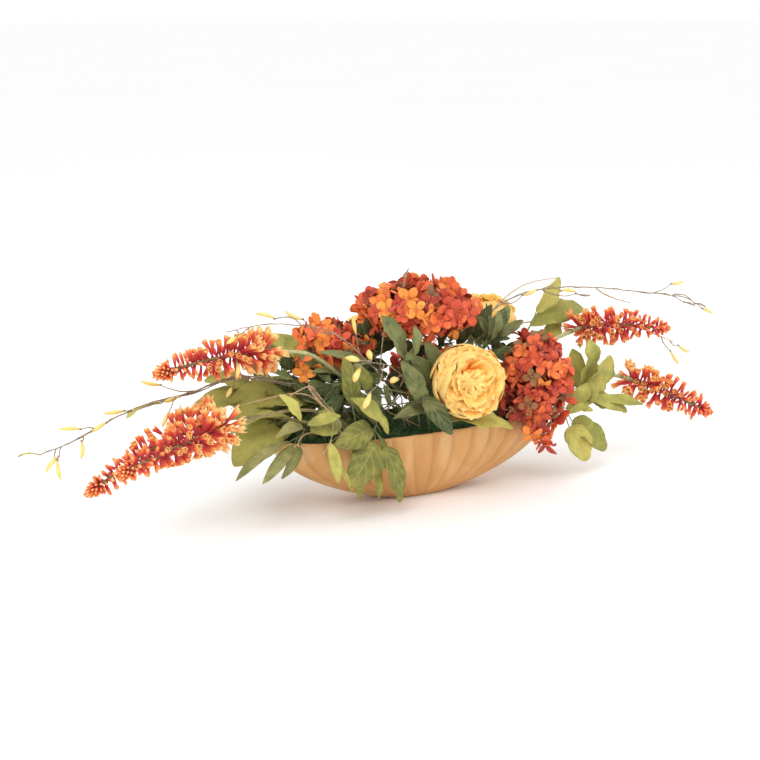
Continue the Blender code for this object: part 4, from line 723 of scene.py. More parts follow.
def hydrangea_finish():
    """Dyed cloth petals: a colour by tone, painted shade at each petal's root in the floret's middle, veined
    and a little mottled.
    """
    p = Paint("hydrangea_petals", Sheen_Weight=0.06, Sheen_Roughness=0.5)
    along, across, tone = p.paint()
    # root: colour of the painted shade where the petals meet; edge: a browner tint for the rim and the veins
    root, edge = (0.52, 0.28, 0.27), (0.72, 0.50, 0.45)
    mottle = p.noise(260, 3)
    shifted = p.math("ADD", tone, p.grey(mottle, -0.08, 0.08, 0.3, 0.7))
    base = p.ramp(shifted, ((0.00, (0.28, 0.030, 0.016)), (0.16, (0.56, 0.065, 0.028)),
                            (0.34, (0.78, 0.13, 0.046)), (0.52, (0.88, 0.20, 0.050)),
                            (0.68, (0.95, 0.30, 0.048)), (0.80, (0.99, 0.41, 0.065)),
                            (0.88, (0.42, 0.15, 0.05)), (1.0, (0.27, 0.135, 0.05))))
    # painted shade: the petals darken towards their root
    base = p.mix(p.grey(along, 0.85, 0.0, 0.0, 0.42), base, root, "MULTIPLY")
    side = p.math("ABSOLUTE", across)
    rim = p.math("MAXIMUM", p.grey(along, 0.0, 1.0, 0.86, 1.0), p.grey(side, 0.0, 1.0, 0.80, 1.0))
    base = p.mix(p.math("MULTIPLY", rim, 0.35), base, edge, "MULTIPLY")
    veins = p.math("SINE", p.math("MULTIPLY", across, 16))
    base = p.mix(p.grey(veins, 0.0, 0.22, 0.2, 1.0), base, edge, "MULTIPLY")
    cloth = p.math("ADD", p.math("MULTIPLY", veins, 0.5), p.noise(2600, 2))
    return p.finish(base, p.grey(mottle, 0.70, 0.88), cloth, 0.00012)


def peony_finish():
    """Golden petals, deep orange towards the root and paler at the rim; the deep orange is partly the
    petals' own colour and partly painted shade deep in the flower.
    """
    p = Paint("peony_petals", Sheen_Weight=0.08, Sheen_Roughness=0.5, Subsurface_Weight=0.15,
              Subsurface_Radius=(1.0, 0.55, 0.20), Subsurface_Scale=0.006)
    along, across, tone = p.paint()
    mottle = p.noise(120, 3)
    # deep orange near a petal's root: partly its own colour, partly painted shade in the crowded middle
    depth = p.math("ADD", along, p.grey(mottle, -0.16, 0.16, 0.3, 0.7))
    base = p.ramp(depth, ((0.30, (0.80, 0.15, 0.010)), (0.55, (0.94, 0.30, 0.028)),
                          (0.74, (1.0, 0.50, 0.085)), (1.0, (1.0, 0.68, 0.22))))
    base = p.mix(p.grey(tone, 0.0, 0.85, 0.45, 0.85), base, (1.0, 0.65, 0.20))
    veins = p.math("SINE", p.math("MULTIPLY", across, 26.0))
    base = p.mix(p.grey(veins, 0.0, 0.16, 0.3, 1.0), base, (0.82, 0.38, 0.07))
    cloth = p.math("ADD", p.math("MULTIPLY", veins, 0.5), p.noise(2200, 2))
    return p.finish(base, p.grey(mottle, 0.68, 0.86), cloth, 0.00014)


def torch_lily_finish():
    """Florets that run from crimson at the root through orange to a yellow mouth."""
    p = Paint("torch_lily_florets", Sheen_Weight=0.05, Sheen_Roughness=0.5)
    along, across, tone = p.paint()
    shifted = p.math("ADD", p.math("MULTIPLY", along, 0.95), p.grey(tone, -0.30, 0.30))
    shifted = p.math("ADD", shifted, p.grey(p.noise(300), -0.08, 0.08, 0.3, 0.7))
    base = p.ramp(shifted, ((0.0, (0.40, 0.013, 0.020)), (0.30, (0.60, 0.034, 0.034)),
                            (0.52, (0.80, 0.12, 0.045)), (0.70, (0.91, 0.28, 0.075)),
                            (0.86, (0.97, 0.50, 0.15)), (1.0, (0.99, 0.70, 0.28))))
    ribs = p.math("SINE", p.math("MULTIPLY", across, 18.85))
    base = p.mix(p.grey(ribs, 0.0, 0.25, 0.0, 1.0), base, (0.55, 0.20, 0.18), "MULTIPLY")
    return p.finish(base, p.grey(p.noise(400), 0.62, 0.82), ribs, 0.0001)


def leaf_finish(name, low, high, rib, under):
    """Silk leaves: a paler midrib, side veins that run forward, mottling and a yellowed patch."""
    p = Paint(name, Specular_IOR_Level=0.25)
    along, across, tone = p.paint()
    side = p.math("ABSOLUTE", across)
    mottle = p.noise(70, 5)
    shade = p.math("ADD", mottle, p.grey(tone, -0.25, 0.25))
    base = p.mix(p.grey(shade, 0.0, 1.0, 0.30, 0.70), low, high)
    base = p.mix(p.grey(p.noise(28, 3), 0.0, 0.7, 0.55, 0.75), base, under)
    slant = p.math("SUBTRACT", p.math("MULTIPLY", along, 44.0), p.math("MULTIPLY", side, 11.0))
    veins = p.math("POWER", p.grey(p.math("SINE", slant), 0.0, 1.0, -1.0, 1.0), 6.0)
    midrib = p.grey(side, 1.0, 0.0, 0.01, 0.075)
    lines = p.math("MAXIMUM", p.math("MULTIPLY", veins, 0.24), p.math("MULTIPLY", midrib, 0.42))
    base = p.mix(lines, base, rib)
    height = p.math("ADD", lines, p.math("MULTIPLY", p.noise(300, 3), 1.2))
    return p.finish(base, p.grey(mottle, 0.52, 0.72, 0.3, 0.7), height, 0.0004)


def pod_finish():
    """Yellow pods with an olive foot and a browned tip."""
    p = Paint("pod_yellow", Sheen_Weight=0.1)
    along, _, tone = p.paint()
    shade = p.math("ADD", along, p.grey(p.noise(400), -0.1, 0.1, 0.3, 0.7))
    base = p.ramp(shade, ((0.0, (0.42, 0.33, 0.08)), (0.18, (0.88, 0.60, 0.15)),
                          (0.6, (0.96, 0.72, 0.24)), (0.95, (0.92, 0.56, 0.13)), (1.0, (0.60, 0.32, 0.08))))
    base = p.mix(p.grey(tone, 0.35, 0.0), base, (0.72, 0.62, 0.20))
    return p.finish(base, p.grey(p.noise(500), 0.5, 0.7), p.noise(700), 0.0001)


def plain_finish(name, low, high, roughness, scale=300, detail=3, depth=0.0002):
    """A dull, slightly uneven skin whose colour wanders between two shades."""
    p = Paint(name)
    spots = p.noise(scale, detail)
    base = p.ramp(spots, ((0.35, low), (0.65, high)))
    return p.finish(base, p.grey(spots, *roughness), spots, depth)


def floor_finish():
    p = Paint("floor_pale")
    base = p.ramp(p.noise(0.8, 2), ((0.3, (0.975, 0.975, 0.975)), (0.7, (0.985, 0.985, 0.985))))
    return p.finish(base, p.grey(p.noise(2), 0.8, 0.9))


# ---- bowl and moss ----
def oval(angles):
    """Points of the unit oval that the bowl's plan follows."""
    power = 2.0 / BOWL_OVAL_POWER
    c, s = np.cos(angles), np.sin(angles)
    return np.column_stack((np.copysign(np.abs(c) ** power, c), np.copysign(np.abs(s) ** power, s)))


def even_oval(count):
    """Points round the unit oval whose places on the rim are the same distance apart."""
    dense = oval(np.linspace(0, 2 * math.pi, OVAL_SAMPLES + 1))
    travelled = distances(dense * BOWL_HALF)
    return at_distances(dense, travelled, travelled[-1] * np.arange(count) / count)


def bowl_half_sizes(level):
    """Half length and half width of the bowl's outside at a level from 0, the foot, to 1, the rim."""
    return FOOT_HALF + (BOWL_HALF - FOOT_HALF) * (1.0 - (1.0 - level) ** 2) ** (1.0 / BOWL_SWELL_POWER)


def make_bowl(skins):
    """Fluted shell: outside from the foot up, over a rounded lip, and down the smooth inside."""
    count = BOWL_FLUTES * BOWL_POINTS_A_FLUTE
    plan = even_oval(count)
    place_in_flute = (np.arange(count) / BOWL_POINTS_A_FLUTE + 0.5) % 1.0
    round_flute = np.sin(math.pi * place_in_flute)
    swell = FLUTE_ROUND_SHARE * round_flute + (1 - FLUTE_ROUND_SHARE) * between(FLUTE_STEP, place_in_flute)
    rings = []

    def ring(level, inset, height):
        flute = FLUTE_DEPTH * (FLUTE_FOOT_SHARE + (1 - FLUTE_FOOT_SHARE) * level) * (1 - swell)
        half_sizes = bowl_half_sizes(level) - inset - flute[:, None]
        rings.append(np.column_stack((plan * half_sizes, np.full(count, height))))

    for level in np.linspace(0, 1, BOWL_ROWS) ** 1.6:
        ring(level, 0.0, level * BOWL_HEIGHT)
    for turn in np.linspace(0, math.pi, BOWL_LIP_ROWS)[1:]:
        ring(1.0, BOWL_WALL / 2 * (1 - math.cos(turn)), BOWL_HEIGHT + LIP_RISE * math.sin(turn))
    for level in np.linspace(1, 0.1, BOWL_ROWS // 2)[1:]:
        ring(level, BOWL_WALL, max(level * BOWL_HEIGHT, BOWL_WALL))
    shape = Shape()
    numbers = shape.keep(np.array(rings), np.linspace(0, 1, len(rings)), swell[None], 0.5)
    onward = np.roll(numbers, -1, axis=1)
    lip_end = BOWL_ROWS + BOWL_LIP_ROWS - 1
    shape.quads(numbers[:lip_end], onward[:lip_end], 0)
    shape.quads(numbers[lip_end - 1:], onward[lip_end - 1:], 1)
    shape.cap(numbers[0][::-1], 0)
    shape.cap(numbers[-1], 1)
    make_piece("bowl_fluted", shape, skins, "bowl")


def make_moss(skins):
    """A lumpy mat with tufts of curled fibres."""
    draw = np.random.default_rng(21)
    half = bowl_half_sizes((FOAM_TOP - FILL_CLEARANCE) / BOWL_HEIGHT) - FILL_CLEARANCE
    outline = oval(2 * math.pi * np.arange(MOSS_SIDES) / MOSS_SIDES)

    def lumps(x, y):
        return 0.5 + 0.25 * np.sin(x * 210 + 1.3) * np.cos(y * 260) + 0.25 * np.sin(x * 90 - y * 150)

    rings = [np.column_stack((outline * half, np.full(MOSS_SIDES, FOAM_TOP)))]
    for share in np.linspace(1.0, 0.02, MOSS_ROWS):
        flat = outline * half * share
        rise = (MOSS_TOP - FOAM_TOP + 0.001) * (1 - share ** 10) + 0.002
        height = FOAM_TOP + rise + MOSS_LUMPS * lumps(flat[:, 0], flat[:, 1]) * (1 - share ** 6)
        rings.append(np.column_stack((flat, height)))
    shape = Shape()
    numbers = shape.keep(np.array(rings), 0.15, 0.0, 0.4)
    shape.quads(numbers, np.roll(numbers, -1, axis=1), 0)
    shape.cap(numbers[0][::-1], 0)
    shape.cap(numbers[-1], 0)
    for _ in range(MOSS_TUFTS):
        angle, reach = draw.uniform(0, 2 * math.pi), draw.uniform(0, 1) ** 0.5 * MOSS_REACH
        foot = oval(np.array([angle]))[0] * half * reach
        tone = draw.uniform(0.2, 1.0)
        for _ in range(MOSS_FIBRES):
            start = np.array((*(foot + draw.normal(0, MOSS_TUFT_SPREAD, 2)), MOSS_FOOT))
            lean = np.array((*draw.normal(0, MOSS_LEAN, 2), 1.0))
            curl = draw.normal(0, MOSS_LEAN, 3) * (1, 1, 0.4)
            length = MOSS_FIBRE_LENGTH * draw.uniform(*MOSS_LENGTH_SPREAD)
            t = column(5)
            path = start + unit(lean) * length * t + curl * length * t ** 2
            shape.tube(path, MOSS_FIBRE, 3, 0, tone)
    make_piece("moss_tufts", shape, skins, "moss")


# ---- leaves ----
# Powers of a blade's outline, share^a * (1 - share)^b
WIDE_BLADE = (0.50, 0.72)
NARROW_BLADE = (0.75, 0.80)
NARROW_BELOW = 0.36             # width of a narrow blade as a share of its length
LEAF_ENDS = (0.006, 0.996)      # shares of the outline where a blade's first and last rows lie
LEAF_ROWS, LEAF_COLUMNS = 19, 9
LEAF_FOLD = 0.22                # fold, wave, ruffle and crimp as shares of the half width
LEAF_WAVE = 0.14
LEAF_RUFFLE = 0.16
LEAF_CRIMP = 0.07
LEAF_ARCH = 0.08                # arch and droop as shares of the length
LEAF_DROOP = (-0.02, 0.07)
DROOP_FROM = 0.55
LEAF_TWIST = 0.25               # radians to either side
TOOTH_DEPTH = 0.10
RIB_BELOW = 0.0003              # how far a rib lies below its blade
STALK_BOW = 0.05                # share of a stalk's length
# Radii in metres where a tube starts and ends
LEAF_STALK = (0.0010, 0.0007)
LEAF_RIB = (0.0007, 0.0002)
SIDE_BRANCH = (0.0012, 0.0006)
UNDERGROWTH_LENGTHS = (30, 52)  # of its leaves, millimetres
UNDERGROWTH_WIDTHS = (0.32, 0.52)
# darker tones than the other leaves get: painted shade deep inside the arrangement
UNDERGROWTH_SHADE_TONES = (-0.8, 0.4)
UNDERGROWTH_SCATTER = 0.35
UNDERGROWTH_TOP = (-0.1, -0.8, 0.5)
BRANCH_CREST = (0, 0, 0.012)


def add_leaf(shape, start, spec, draw, blade_slot, stalk_slot):
    """One leaf: a folded and waved blade, a raised midrib below it, and the stalk from its start."""
    root, tip = vec(spec["root"]), vec(spec["tip"])
    width = spec["width"] * MM
    along = tip - root
    length = np.linalg.norm(along)
    top = square_to(along / length, spec["up"])
    root_power, tip_power = NARROW_BLADE if width < NARROW_BELOW * length else WIDE_BLADE
    teeth = spec.get("teeth", 0)
    rows = max(spec.get("rows", LEAF_ROWS), 4 * teeth + 1)
    t = LEAF_ENDS[0] + (LEAF_ENDS[1] - LEAF_ENDS[0]) * (1 - np.cos(np.linspace(0, math.pi, rows))) / 2
    peak = root_power / (root_power + tip_power)
    outline = (t / peak) ** root_power * ((1 - t) / (1 - peak)) ** tip_power
    outline *= 1 - TOOTH_DEPTH * ((t * teeth) % 1.0)
    across = np.linspace(-1, 1, spec.get("columns", LEAF_COLUMNS))
    phase, phase2 = draw.uniform(0, 2 * math.pi, 2)
    arch = spec.get("arch", LEAF_ARCH)
    droop = draw.uniform(*LEAF_DROOP)
    rise = length * (arch * 4 * t * (1 - t) - droop * np.maximum(t - DROOP_FROM, 0) ** 2 * 6)
    centre = root + np.outer(t, along) + np.outer(rise, top)
    ahead = np.gradient(centre, axis=0)
    ahead /= np.linalg.norm(ahead, axis=1)[:, None]
    twist = draw.uniform(-LEAF_TWIST, LEAF_TWIST)
    grid = np.empty((rows, len(across), 3))
    for i in range(rows):
        over = square_to(ahead[i], top)
        side = np.cross(ahead[i], over)
        turn = twist * (t[i] - 0.3)
        side, over = (side * math.cos(turn) + over * math.sin(turn),
                      over * math.cos(turn) - side * math.sin(turn))
        half = width / 2 * outline[i]
        fold = LEAF_FOLD * (np.sqrt(across ** 2 + 0.02) - 0.14)
        wave = LEAF_WAVE * across * math.sin(7.0 * t[i] + phase)
        ruffle = np.abs(across) ** 2.5 * np.sin(13.0 * t[i] + phase2 + 1.5 * np.sign(across))
        crimp = across ** 2 * math.sin(31.0 * t[i] + phase)
        lift = (fold + wave + (LEAF_RUFFLE * ruffle + LEAF_CRIMP * crimp)) * half
        grid[i] = centre[i] + np.outer(across * half, side) + np.outer(lift, over)
    tone = spec.get("tone", draw.uniform(0, 1))
    shape.sheet(grid, LEAF_THICKNESS, blade_slot, tone)
    rib = grid[:-3, len(across) // 2] - top * RIB_BELOW
    shape.tube(rib, LEAF_RIB, 5, stalk_slot, tone)
    bow = (start + root) / 2 + top * STALK_BOW * np.linalg.norm(root - start)
    shape.tube(arc(start, bow, root, column(7)), LEAF_STALK, 6, stalk_slot, tone)


def add_undergrowth(shape, points, fill, draw):
    """A side branch through a zone, with scattered leaves, darkened as painted shade, that close the gaps
    between the rest.
    """
    zone, half, at, way, count = fill
    zone, half, way = vec(zone), vec(half), np.array(way)
    start = place_along(points, at)
    crest = (start + zone) / 2 + BRANCH_CREST
    branch = even_path(bezier((start, crest, zone, zone + half * way), 24), 24)
    shape.tube(branch, SIDE_BRANCH, 6, 1)
    for _ in range(count):
        root = zone + half * draw.uniform(-1, 1, 3)
        foot = nearest(branch, root)
        ahead = unit(unit(root - foot) + way + draw.normal(0, UNDERGROWTH_SCATTER, 3))
        size = draw.uniform(*UNDERGROWTH_LENGTHS)
        width = size * draw.uniform(*UNDERGROWTH_WIDTHS)
        top = draw.normal(0, UNDERGROWTH_SCATTER, 3) + UNDERGROWTH_TOP
        # its tone comes from the darker range of painted shade
        blade = leaf(0, root / MM, root / MM + ahead * size, width, top, rows=12, columns=5,
                     tone=draw.uniform(*UNDERGROWTH_SHADE_TONES))
        add_leaf(shape, foot, blade, draw, 0, 1)


def make_leafy_stem(name, spec, finishes):
    """A stem with its leaves, and undergrowth on side branches where the layout asks for it."""
    draw = np.random.default_rng(sum(map(ord, name)))
    points = [vec(p) for p in spec["stem"]]
    radius = spec["radius"] * MM
    shape = Shape()
    shape.tube(smooth_path(points), (radius, radius * 0.7), 8, 1)
    shared = {"tone": spec["tone"]} if "tone" in spec else {}
    for blade in spec["leaves"]:
        slot = 2 if blade.get("other") else 0
        add_leaf(shape, place_along(points, blade["at"]), shared | blade, draw, slot, 1)
    for fill in spec.get("fills", ()):
        add_undergrowth(shape, points, fill, draw)
    colour = spec["colour"]
    other = "leaf_olive" if colour == "leaf_pale" else "leaf_pale"
    make_piece(name + "_foliage", shape, pick(finishes, colour, "stem", other), name)


# ---- stems ----
def make_stem(name, spec, finish):
    """A bare flower stem with faint joints; returns its end and its direction there."""
    path = smooth_path([vec(p) for p in spec["stem"]])
    end, ahead = path[-1], unit(path[-1] - path[-2])
    radius = spec["radius"] * MM
    swell = 1.0 + 0.05 * np.sin(np.arange(len(path)) * 1.9)
    shape = Shape()
    shape.tube(path, radius * swell, 12)
    make_piece(name + "_stalk", shape, [finish], name + "_stem")
    return end, ahead


def add_neck(shape, end, ahead, goal, radius, slot):
    """The neck of a flower, from just past its stem's end, curving into the head."""
    bend = end + ahead * max(NECK_RISE, 0.45 * np.linalg.norm(goal - end))
    shape.tube(arc(end, bend, goal, column(9)), (radius, radius * 0.75), 10, slot)


# ---- hydrangea ----
PETAL_ROWS, PETAL_COLUMNS = 7, 5
FLORET_STALK = (0.0009, 0.0006)  # radii at its start and its end
FLORET_BEAD = 0.0010
FLORET_DISH = (0.05, 0.60)      # how far the petals lean forward, as a slope
PETAL_LEAN = 0.22               # random part of it for each petal
PETAL_LENGTHS = (0.90, 1.08)    # shares of the floret's size
PETAL_HALF_WIDTHS = (0.35, 0.42)    # shares of the petal's length
PETAL_CUP = (-0.15, 0.60)
PETAL_WAVE = 0.34
PETAL_TONES = 0.035
FLORET_SIZES = (0.85, 1.12)
FLORET_TURNS = 0.36             # how far florets face away from the head's own direction
STALK_FROM, STALK_KNEE = 0.15, 0.55     # where a stalk starts and bends, as shares of its way out
# Layers of florets: reach as a share of the head, share of the blooms, shift of their tone, which is painted
# shade that darkens the inner layer
HYDRANGEA_LAYERS = ((0.98, 1.0, 0.0), (0.72, 0.5, -0.18))
STALK_GAP = 0.90                # florets whose direction is this near to the stem's are left out
BOWL_MARGIN = 0.010             # between a floret and the bowl
HEAD_MARGIN = 0.006             # between a floret and another head


def add_hydrangea_floret(shape, centre, normal, size, tone, draw):
    """Four rounded petals in two crossing pairs round a pale bead."""
    spin = draw.uniform(0, math.pi / 2)
    u = square_to(normal, (0.2, 0.5, 1.0))
    v = np.cross(normal, u)
    s = np.linspace(0, 1, PETAL_ROWS)
    t = 0.03 + 0.965 * (1 - np.cos(math.pi * s)) / 2
    outline = np.sin(math.pi * t ** 1.15) ** 0.55
    across = np.linspace(-1, 1, PETAL_COLUMNS)
    dish = draw.uniform(*FLORET_DISH)
    for petal in range(4):
        angle = spin + petal * math.pi / 2 + draw.normal(0, 0.09)
        out = u * math.cos(angle) + v * math.sin(angle)
        side = np.cross(normal, out)
        length = size * draw.uniform(*PETAL_LENGTHS)
        half = length * draw.uniform(*PETAL_HALF_WIDTHS) * outline
        lean = dish + draw.normal(0, PETAL_LEAN)
        rise = length * (lean * t + draw.uniform(-0.45, 0.15) * t ** 3) + 0.0006 * (petal % 2)
        cup = draw.uniform(*PETAL_CUP)
        wave = draw.normal(0, PETAL_WAVE)
        phase = draw.uniform(0, 6.3)
        lift = (np.outer(half, cup * across ** 2 + wave * across)
                + np.outer(half * t, 0.10 * np.sin(5.0 * across + phase)))
        grid = (centre + np.outer(length * t, out)[:, None, :]
                + (half[:, None] * across)[..., None] * side
                + (rise[:, None] + lift)[..., None] * normal)
        shape.sheet(grid, PETAL_THICKNESS, 0, tone + draw.normal(0, PETAL_TONES))
    shape.ball(centre + normal * 0.0011, FLORET_BEAD, 2)


def sphere_directions(count):
    """Directions spread evenly over a sphere on a golden-angle spiral."""
    i = np.arange(count)
    z = 1 - (2 * i + 1) / count
    flat = np.sqrt(1 - z * z)
    return np.column_stack((flat * np.cos(GOLDEN_ANGLE * i), flat * np.sin(GOLDEN_ANGLE * i), z))


def clear_of_bowl(spot, margin):
    """True above the rim, or outside the rim's outline, with a margin."""
    reach = np.abs(spot[:2]) / (BOWL_HALF + margin)
    return spot[2] - margin > BOWL_HEIGHT or (reach ** BOWL_OVAL_POWER).sum() > 1.0


def clear_of_heads(spot, heads, margin):
    """True outside every other head, each given as its centre and half sizes."""
    return all((((spot - centre) / (half + margin)) ** 2).sum() >= 1.0 for centre, half in heads)


def pick_tone(draw, weights):
    """A tone from bands of the hydrangea's colours: (share of florets, lowest tone, highest tone)."""
    chance = draw.uniform(0, sum(row[0] for row in weights))
    for share, low, high in weights:
        if chance < share:
            return draw.uniform(low, high)
        chance -= share
    return weights[-1][2]


def make_hydrangea(name, spec, heads, finishes):
    """A dense dome of florets in two layers, each floret on its own stalk from a branching middle."""
    end, ahead = make_stem(name, spec, finishes["stem"])
    draw = np.random.default_rng(spec["seed"])
    centre, half = vec(spec["centre"]), vec(spec["half"])
    shape = Shape()
    add_neck(shape, end, ahead, centre - (0, 0, half[2] * 0.2), spec["radius"] * MM, 1)
    to_stem = unit(end - centre)
    for reach, part, painted_shade_shift in HYDRANGEA_LAYERS:
        for out in sphere_directions(int(spec["blooms"] * part)):
            away = out * (half - HEAD_INSET) * reach * draw.uniform(spec.get("depth", 0.88), 1.05)
            if np.dot(unit(away), to_stem) > STALK_GAP:
                continue
            spot = centre + away
            if not (clear_of_bowl(spot, BOWL_MARGIN) and clear_of_heads(spot, heads, HEAD_MARGIN)):
                continue
            normal = unit(unit(out / half) + draw.normal(0, FLORET_TURNS, 3))
            # the inner layer's lower tone is painted shade inside the head
            tone = np.clip(pick_tone(draw, spec["tones"]) + painted_shade_shift, 0.0, 1.0)
            size = HYDRANGEA_PETAL * spec.get("petal", 1.0) * draw.uniform(*FLORET_SIZES)
            add_hydrangea_floret(shape, spot, normal, size, tone, draw)
            inner = centre + away * STALK_FROM - (0, 0, half[2] * 0.1)
            knee = centre + away * STALK_KNEE - normal * 0.004
            shape.tube(arc(inner, knee, spot - normal * 0.0006, column(5)), FLORET_STALK, 5, 1)
    for drop in spec.get("drops", ()):
        spot = vec(drop)
        normal = unit(spot - centre + (0, -0.03, 0) + draw.normal(0, 0.015, 3))
        tone = pick_tone(draw, spec["tones"])
        add_hydrangea_floret(shape, spot, normal, HYDRANGEA_PETAL, tone, draw)
        shape.tube(centre + (spot - centre) * column(5), FLORET_STALK, 5, 1)
    skins = pick(finishes, "hydrangea", "stalk_red", "bead")
    make_piece(name + "_bloom", shape, skins, name + "_head")
    heads.append((centre, half))


# ---- peony ----
PEONY_ROWS, PEONY_COLUMNS = 11, 13
# How wide petals are, as (share of the length, share of the largest width)
GUARD_WIDTH = ((0, 0.20), (0.3, 0.72), (0.62, 1.0), (0.85, 0.92), (1.0, 0.58))
CROWD_WIDTH = ((0, 0.35), (0.35, 0.70), (0.72, 1.0), (0.90, 0.90), (1.0, 0.55))
CROWD_HALF_WIDTHS = (0.0135, 0.0200)
CROWD_BEND = (48, 92)           # degrees that the outer part of a petal folds over
FOLD_FROM = 0.42                # share of a petal's length
CROWD_PLACES = (0.02, 0.90)     # of the first and the last petal, from the middle, 0, to the edge, 1
CROWD_TURNS = 0.45              # radians that a petal faces away from its place
CROWD_LENGTHS = (0.94, 1.08)
CROWD_CUP = (-0.45, 0.20)
CROWD_TONES = (0.0, 0.5)
GUARD_TONES = (0.60, 1.0)
OPEN_CHANCE = (0.15, 1.10)      # of a petal in the middle and at the edge to fall open
SEPAL_REACH = (0.003, 0.026)
SEPAL_WIDTH = 15                # millimetres


def add_guard_petal(shape, centre, turn, angle, spread, ring, draw):
    """A broad smooth petal that cups the flower; ring gives its reach, its rise and its curl."""
    reach, rise, curl = ring
    r = PEONY_RADIUS
    line = bezier(((0.08 * r, -0.42 * r), (1.02 * reach, -0.50 * r), (1.10 * reach, 0.30 * rise),
                   (reach * (1 - curl), rise)), PEONY_ROWS)
    t = column(PEONY_ROWS)
    side = np.linspace(-1, 1, PEONY_COLUMNS)[None]
    half_angle = spread * between(GUARD_WIDTH, t)
    phase = draw.uniform(0, 2 * math.pi, 2)
    lower = 1.0 - 0.20 * np.abs(side) ** 2.2 * t ** 2 + 0.05 * np.sin(side * 5 + phase[0]) * t ** 5
    folds = (np.sin(side * 2.6 + phase[0]) + 0.6 * np.sin(side * 6.0 + phase[1])) * t ** 2.5
    out = line[:, :1] + draw.uniform(0.0005, 0.0024) * side + 0.0012 * folds
    angles = angle + side * half_angle
    grid = np.stack((out * np.cos(angles), out * np.sin(angles), line[:, 1:] * lower), axis=-1)
    shape.sheet(centre + grid @ turn.T, PETAL_THICKNESS, 0, draw.uniform(*GUARD_TONES))


def add_crowd_petal(shape, centre, turn, angle, share, draw):
    """A ruffled petal of the crowded middle: it stands up, then folds over inwards or falls open."""
    r = PEONY_RADIUS
    length = r * (1.04 - 0.24 * share) * draw.uniform(*CROWD_LENGTHS)
    faces = angle + draw.normal(0, CROWD_TURNS)
    out = np.array((math.cos(faces), math.sin(faces), 0.0))
    side_way = np.array((-out[1], out[0], 0.0))
    up = np.array((0.0, 0.0, 1.0))
    foot = np.array((math.cos(angle), math.sin(angle), 0.0)) * 0.50 * share * r - up * 0.30 * r
    falls_open = draw.uniform(0, 1) < np.interp(share, (0, 1), OPEN_CHANCE)
    bend = math.radians(draw.uniform(*CROWD_BEND)) * (1 if falls_open else -1)
    t = np.linspace(0, 1, PEONY_ROWS)
    rest = np.clip((t - FOLD_FROM) / (1 - FOLD_FROM), 0, 1)
    tilt = 0.40 * share + bend * rest ** 1.4
    steps = (np.outer(np.sin(tilt), out) + np.outer(np.cos(tilt), up)) * length / (PEONY_ROWS - 1)
    line = foot + np.cumsum(steps, axis=0)
    over = np.outer(np.cos(tilt), out) - np.outer(np.sin(tilt), up)
    side = np.linspace(-1, 1, PEONY_COLUMNS)
    width = draw.uniform(*CROWD_HALF_WIDTHS) * between(CROWD_WIDTH, t)
    phase = draw.uniform(0, 2 * math.pi, 3)
    cup = draw.uniform(*CROWD_CUP) * np.outer(width, side ** 2)
    waves = 0.0018 * np.sin(side * 3.6 + phase[0]) + 0.0007 * np.sin(side * 8.0 + phase[1])
    ruffle = np.outer(t ** 2, waves)
    rim = np.outer(t ** 4, 0.0012 * np.sin(side * 5.5 + phase[2]) - 0.0030 * np.abs(side) ** 2.2)
    grid = (line[:, None, :] + np.outer(width, side)[..., None] * side_way
            + (cup + ruffle)[..., None] * over[:, None, :] + rim[..., None] * out)
    shape.sheet(centre + grid @ turn.T, PETAL_THICKNESS, 0, draw.uniform(*CROWD_TONES))


def make_peony(name, spec, finishes):
    """A full double flower: smooth guard petals wrap one side of a crowded, ruffled middle."""
    end, ahead = make_stem(name, spec, finishes["stem"])
    draw = np.random.default_rng(spec["seed"])
    centre = vec(spec["centre"])
    turn = np.array(Vector(spec["facing"]).normalized().to_track_quat("Z", "Y").to_matrix())
    wrap = turn.T @ unit(np.array(spec["wrap"], float))
    wrap_angle = math.atan2(wrap[1], wrap[0])
    shape = Shape()
    back = centre - turn @ (0, 0, PEONY_RADIUS * 0.42)
    add_neck(shape, end, ahead, back, spec["radius"] * MM, 1)
    for count, reach, rise, curl, overlap in PEONY_GUARDS:
        first = draw.uniform(0, 2 * math.pi)
        for i in range(count):
            angle = first + 2 * math.pi * i / count + draw.normal(0, 0.10)
            held = 0.5 + 0.5 * math.cos(angle - wrap_angle)
            ring = (PEONY_RADIUS * reach * draw.uniform(0.96, 1.02),
                    PEONY_RADIUS * rise * (0.45 + 0.60 * held) * draw.uniform(0.9, 1.1),
                    curl * (0.4 + 0.9 * held) * draw.uniform(0.6, 1.4))
            add_guard_petal(shape, centre, turn, angle, math.pi / count * overlap, ring, draw)
    middle = centre - turn @ (math.cos(wrap_angle), math.sin(wrap_angle), 0.0) * 0.02 * PEONY_RADIUS
    for i in range(PEONY_CROWD):
        share = np.interp(((i + 0.5) / PEONY_CROWD) ** 0.66, (0, 1), CROWD_PLACES)
        angle = GOLDEN_ANGLE * i + draw.normal(0, 0.15)
        add_crowd_petal(shape, middle, turn, angle, share, draw)
    root = back + turn @ (0, 0, -0.002)
    for angle in 2 * math.pi * np.arange(PEONY_SEPALS) / PEONY_SEPALS:
        out = turn @ (math.cos(angle), math.sin(angle), -0.15)
        ends = [(root + out * reach) / MM for reach in SEPAL_REACH]
        sepal = leaf(0, *ends, SEPAL_WIDTH, turn @ (0, 0, 1), arch=-0.1)
        add_leaf(shape, root, sepal, draw, 1, 1)
    make_piece(name + "_bloom", shape, pick(finishes, "peony", "stem"), name + "_head")


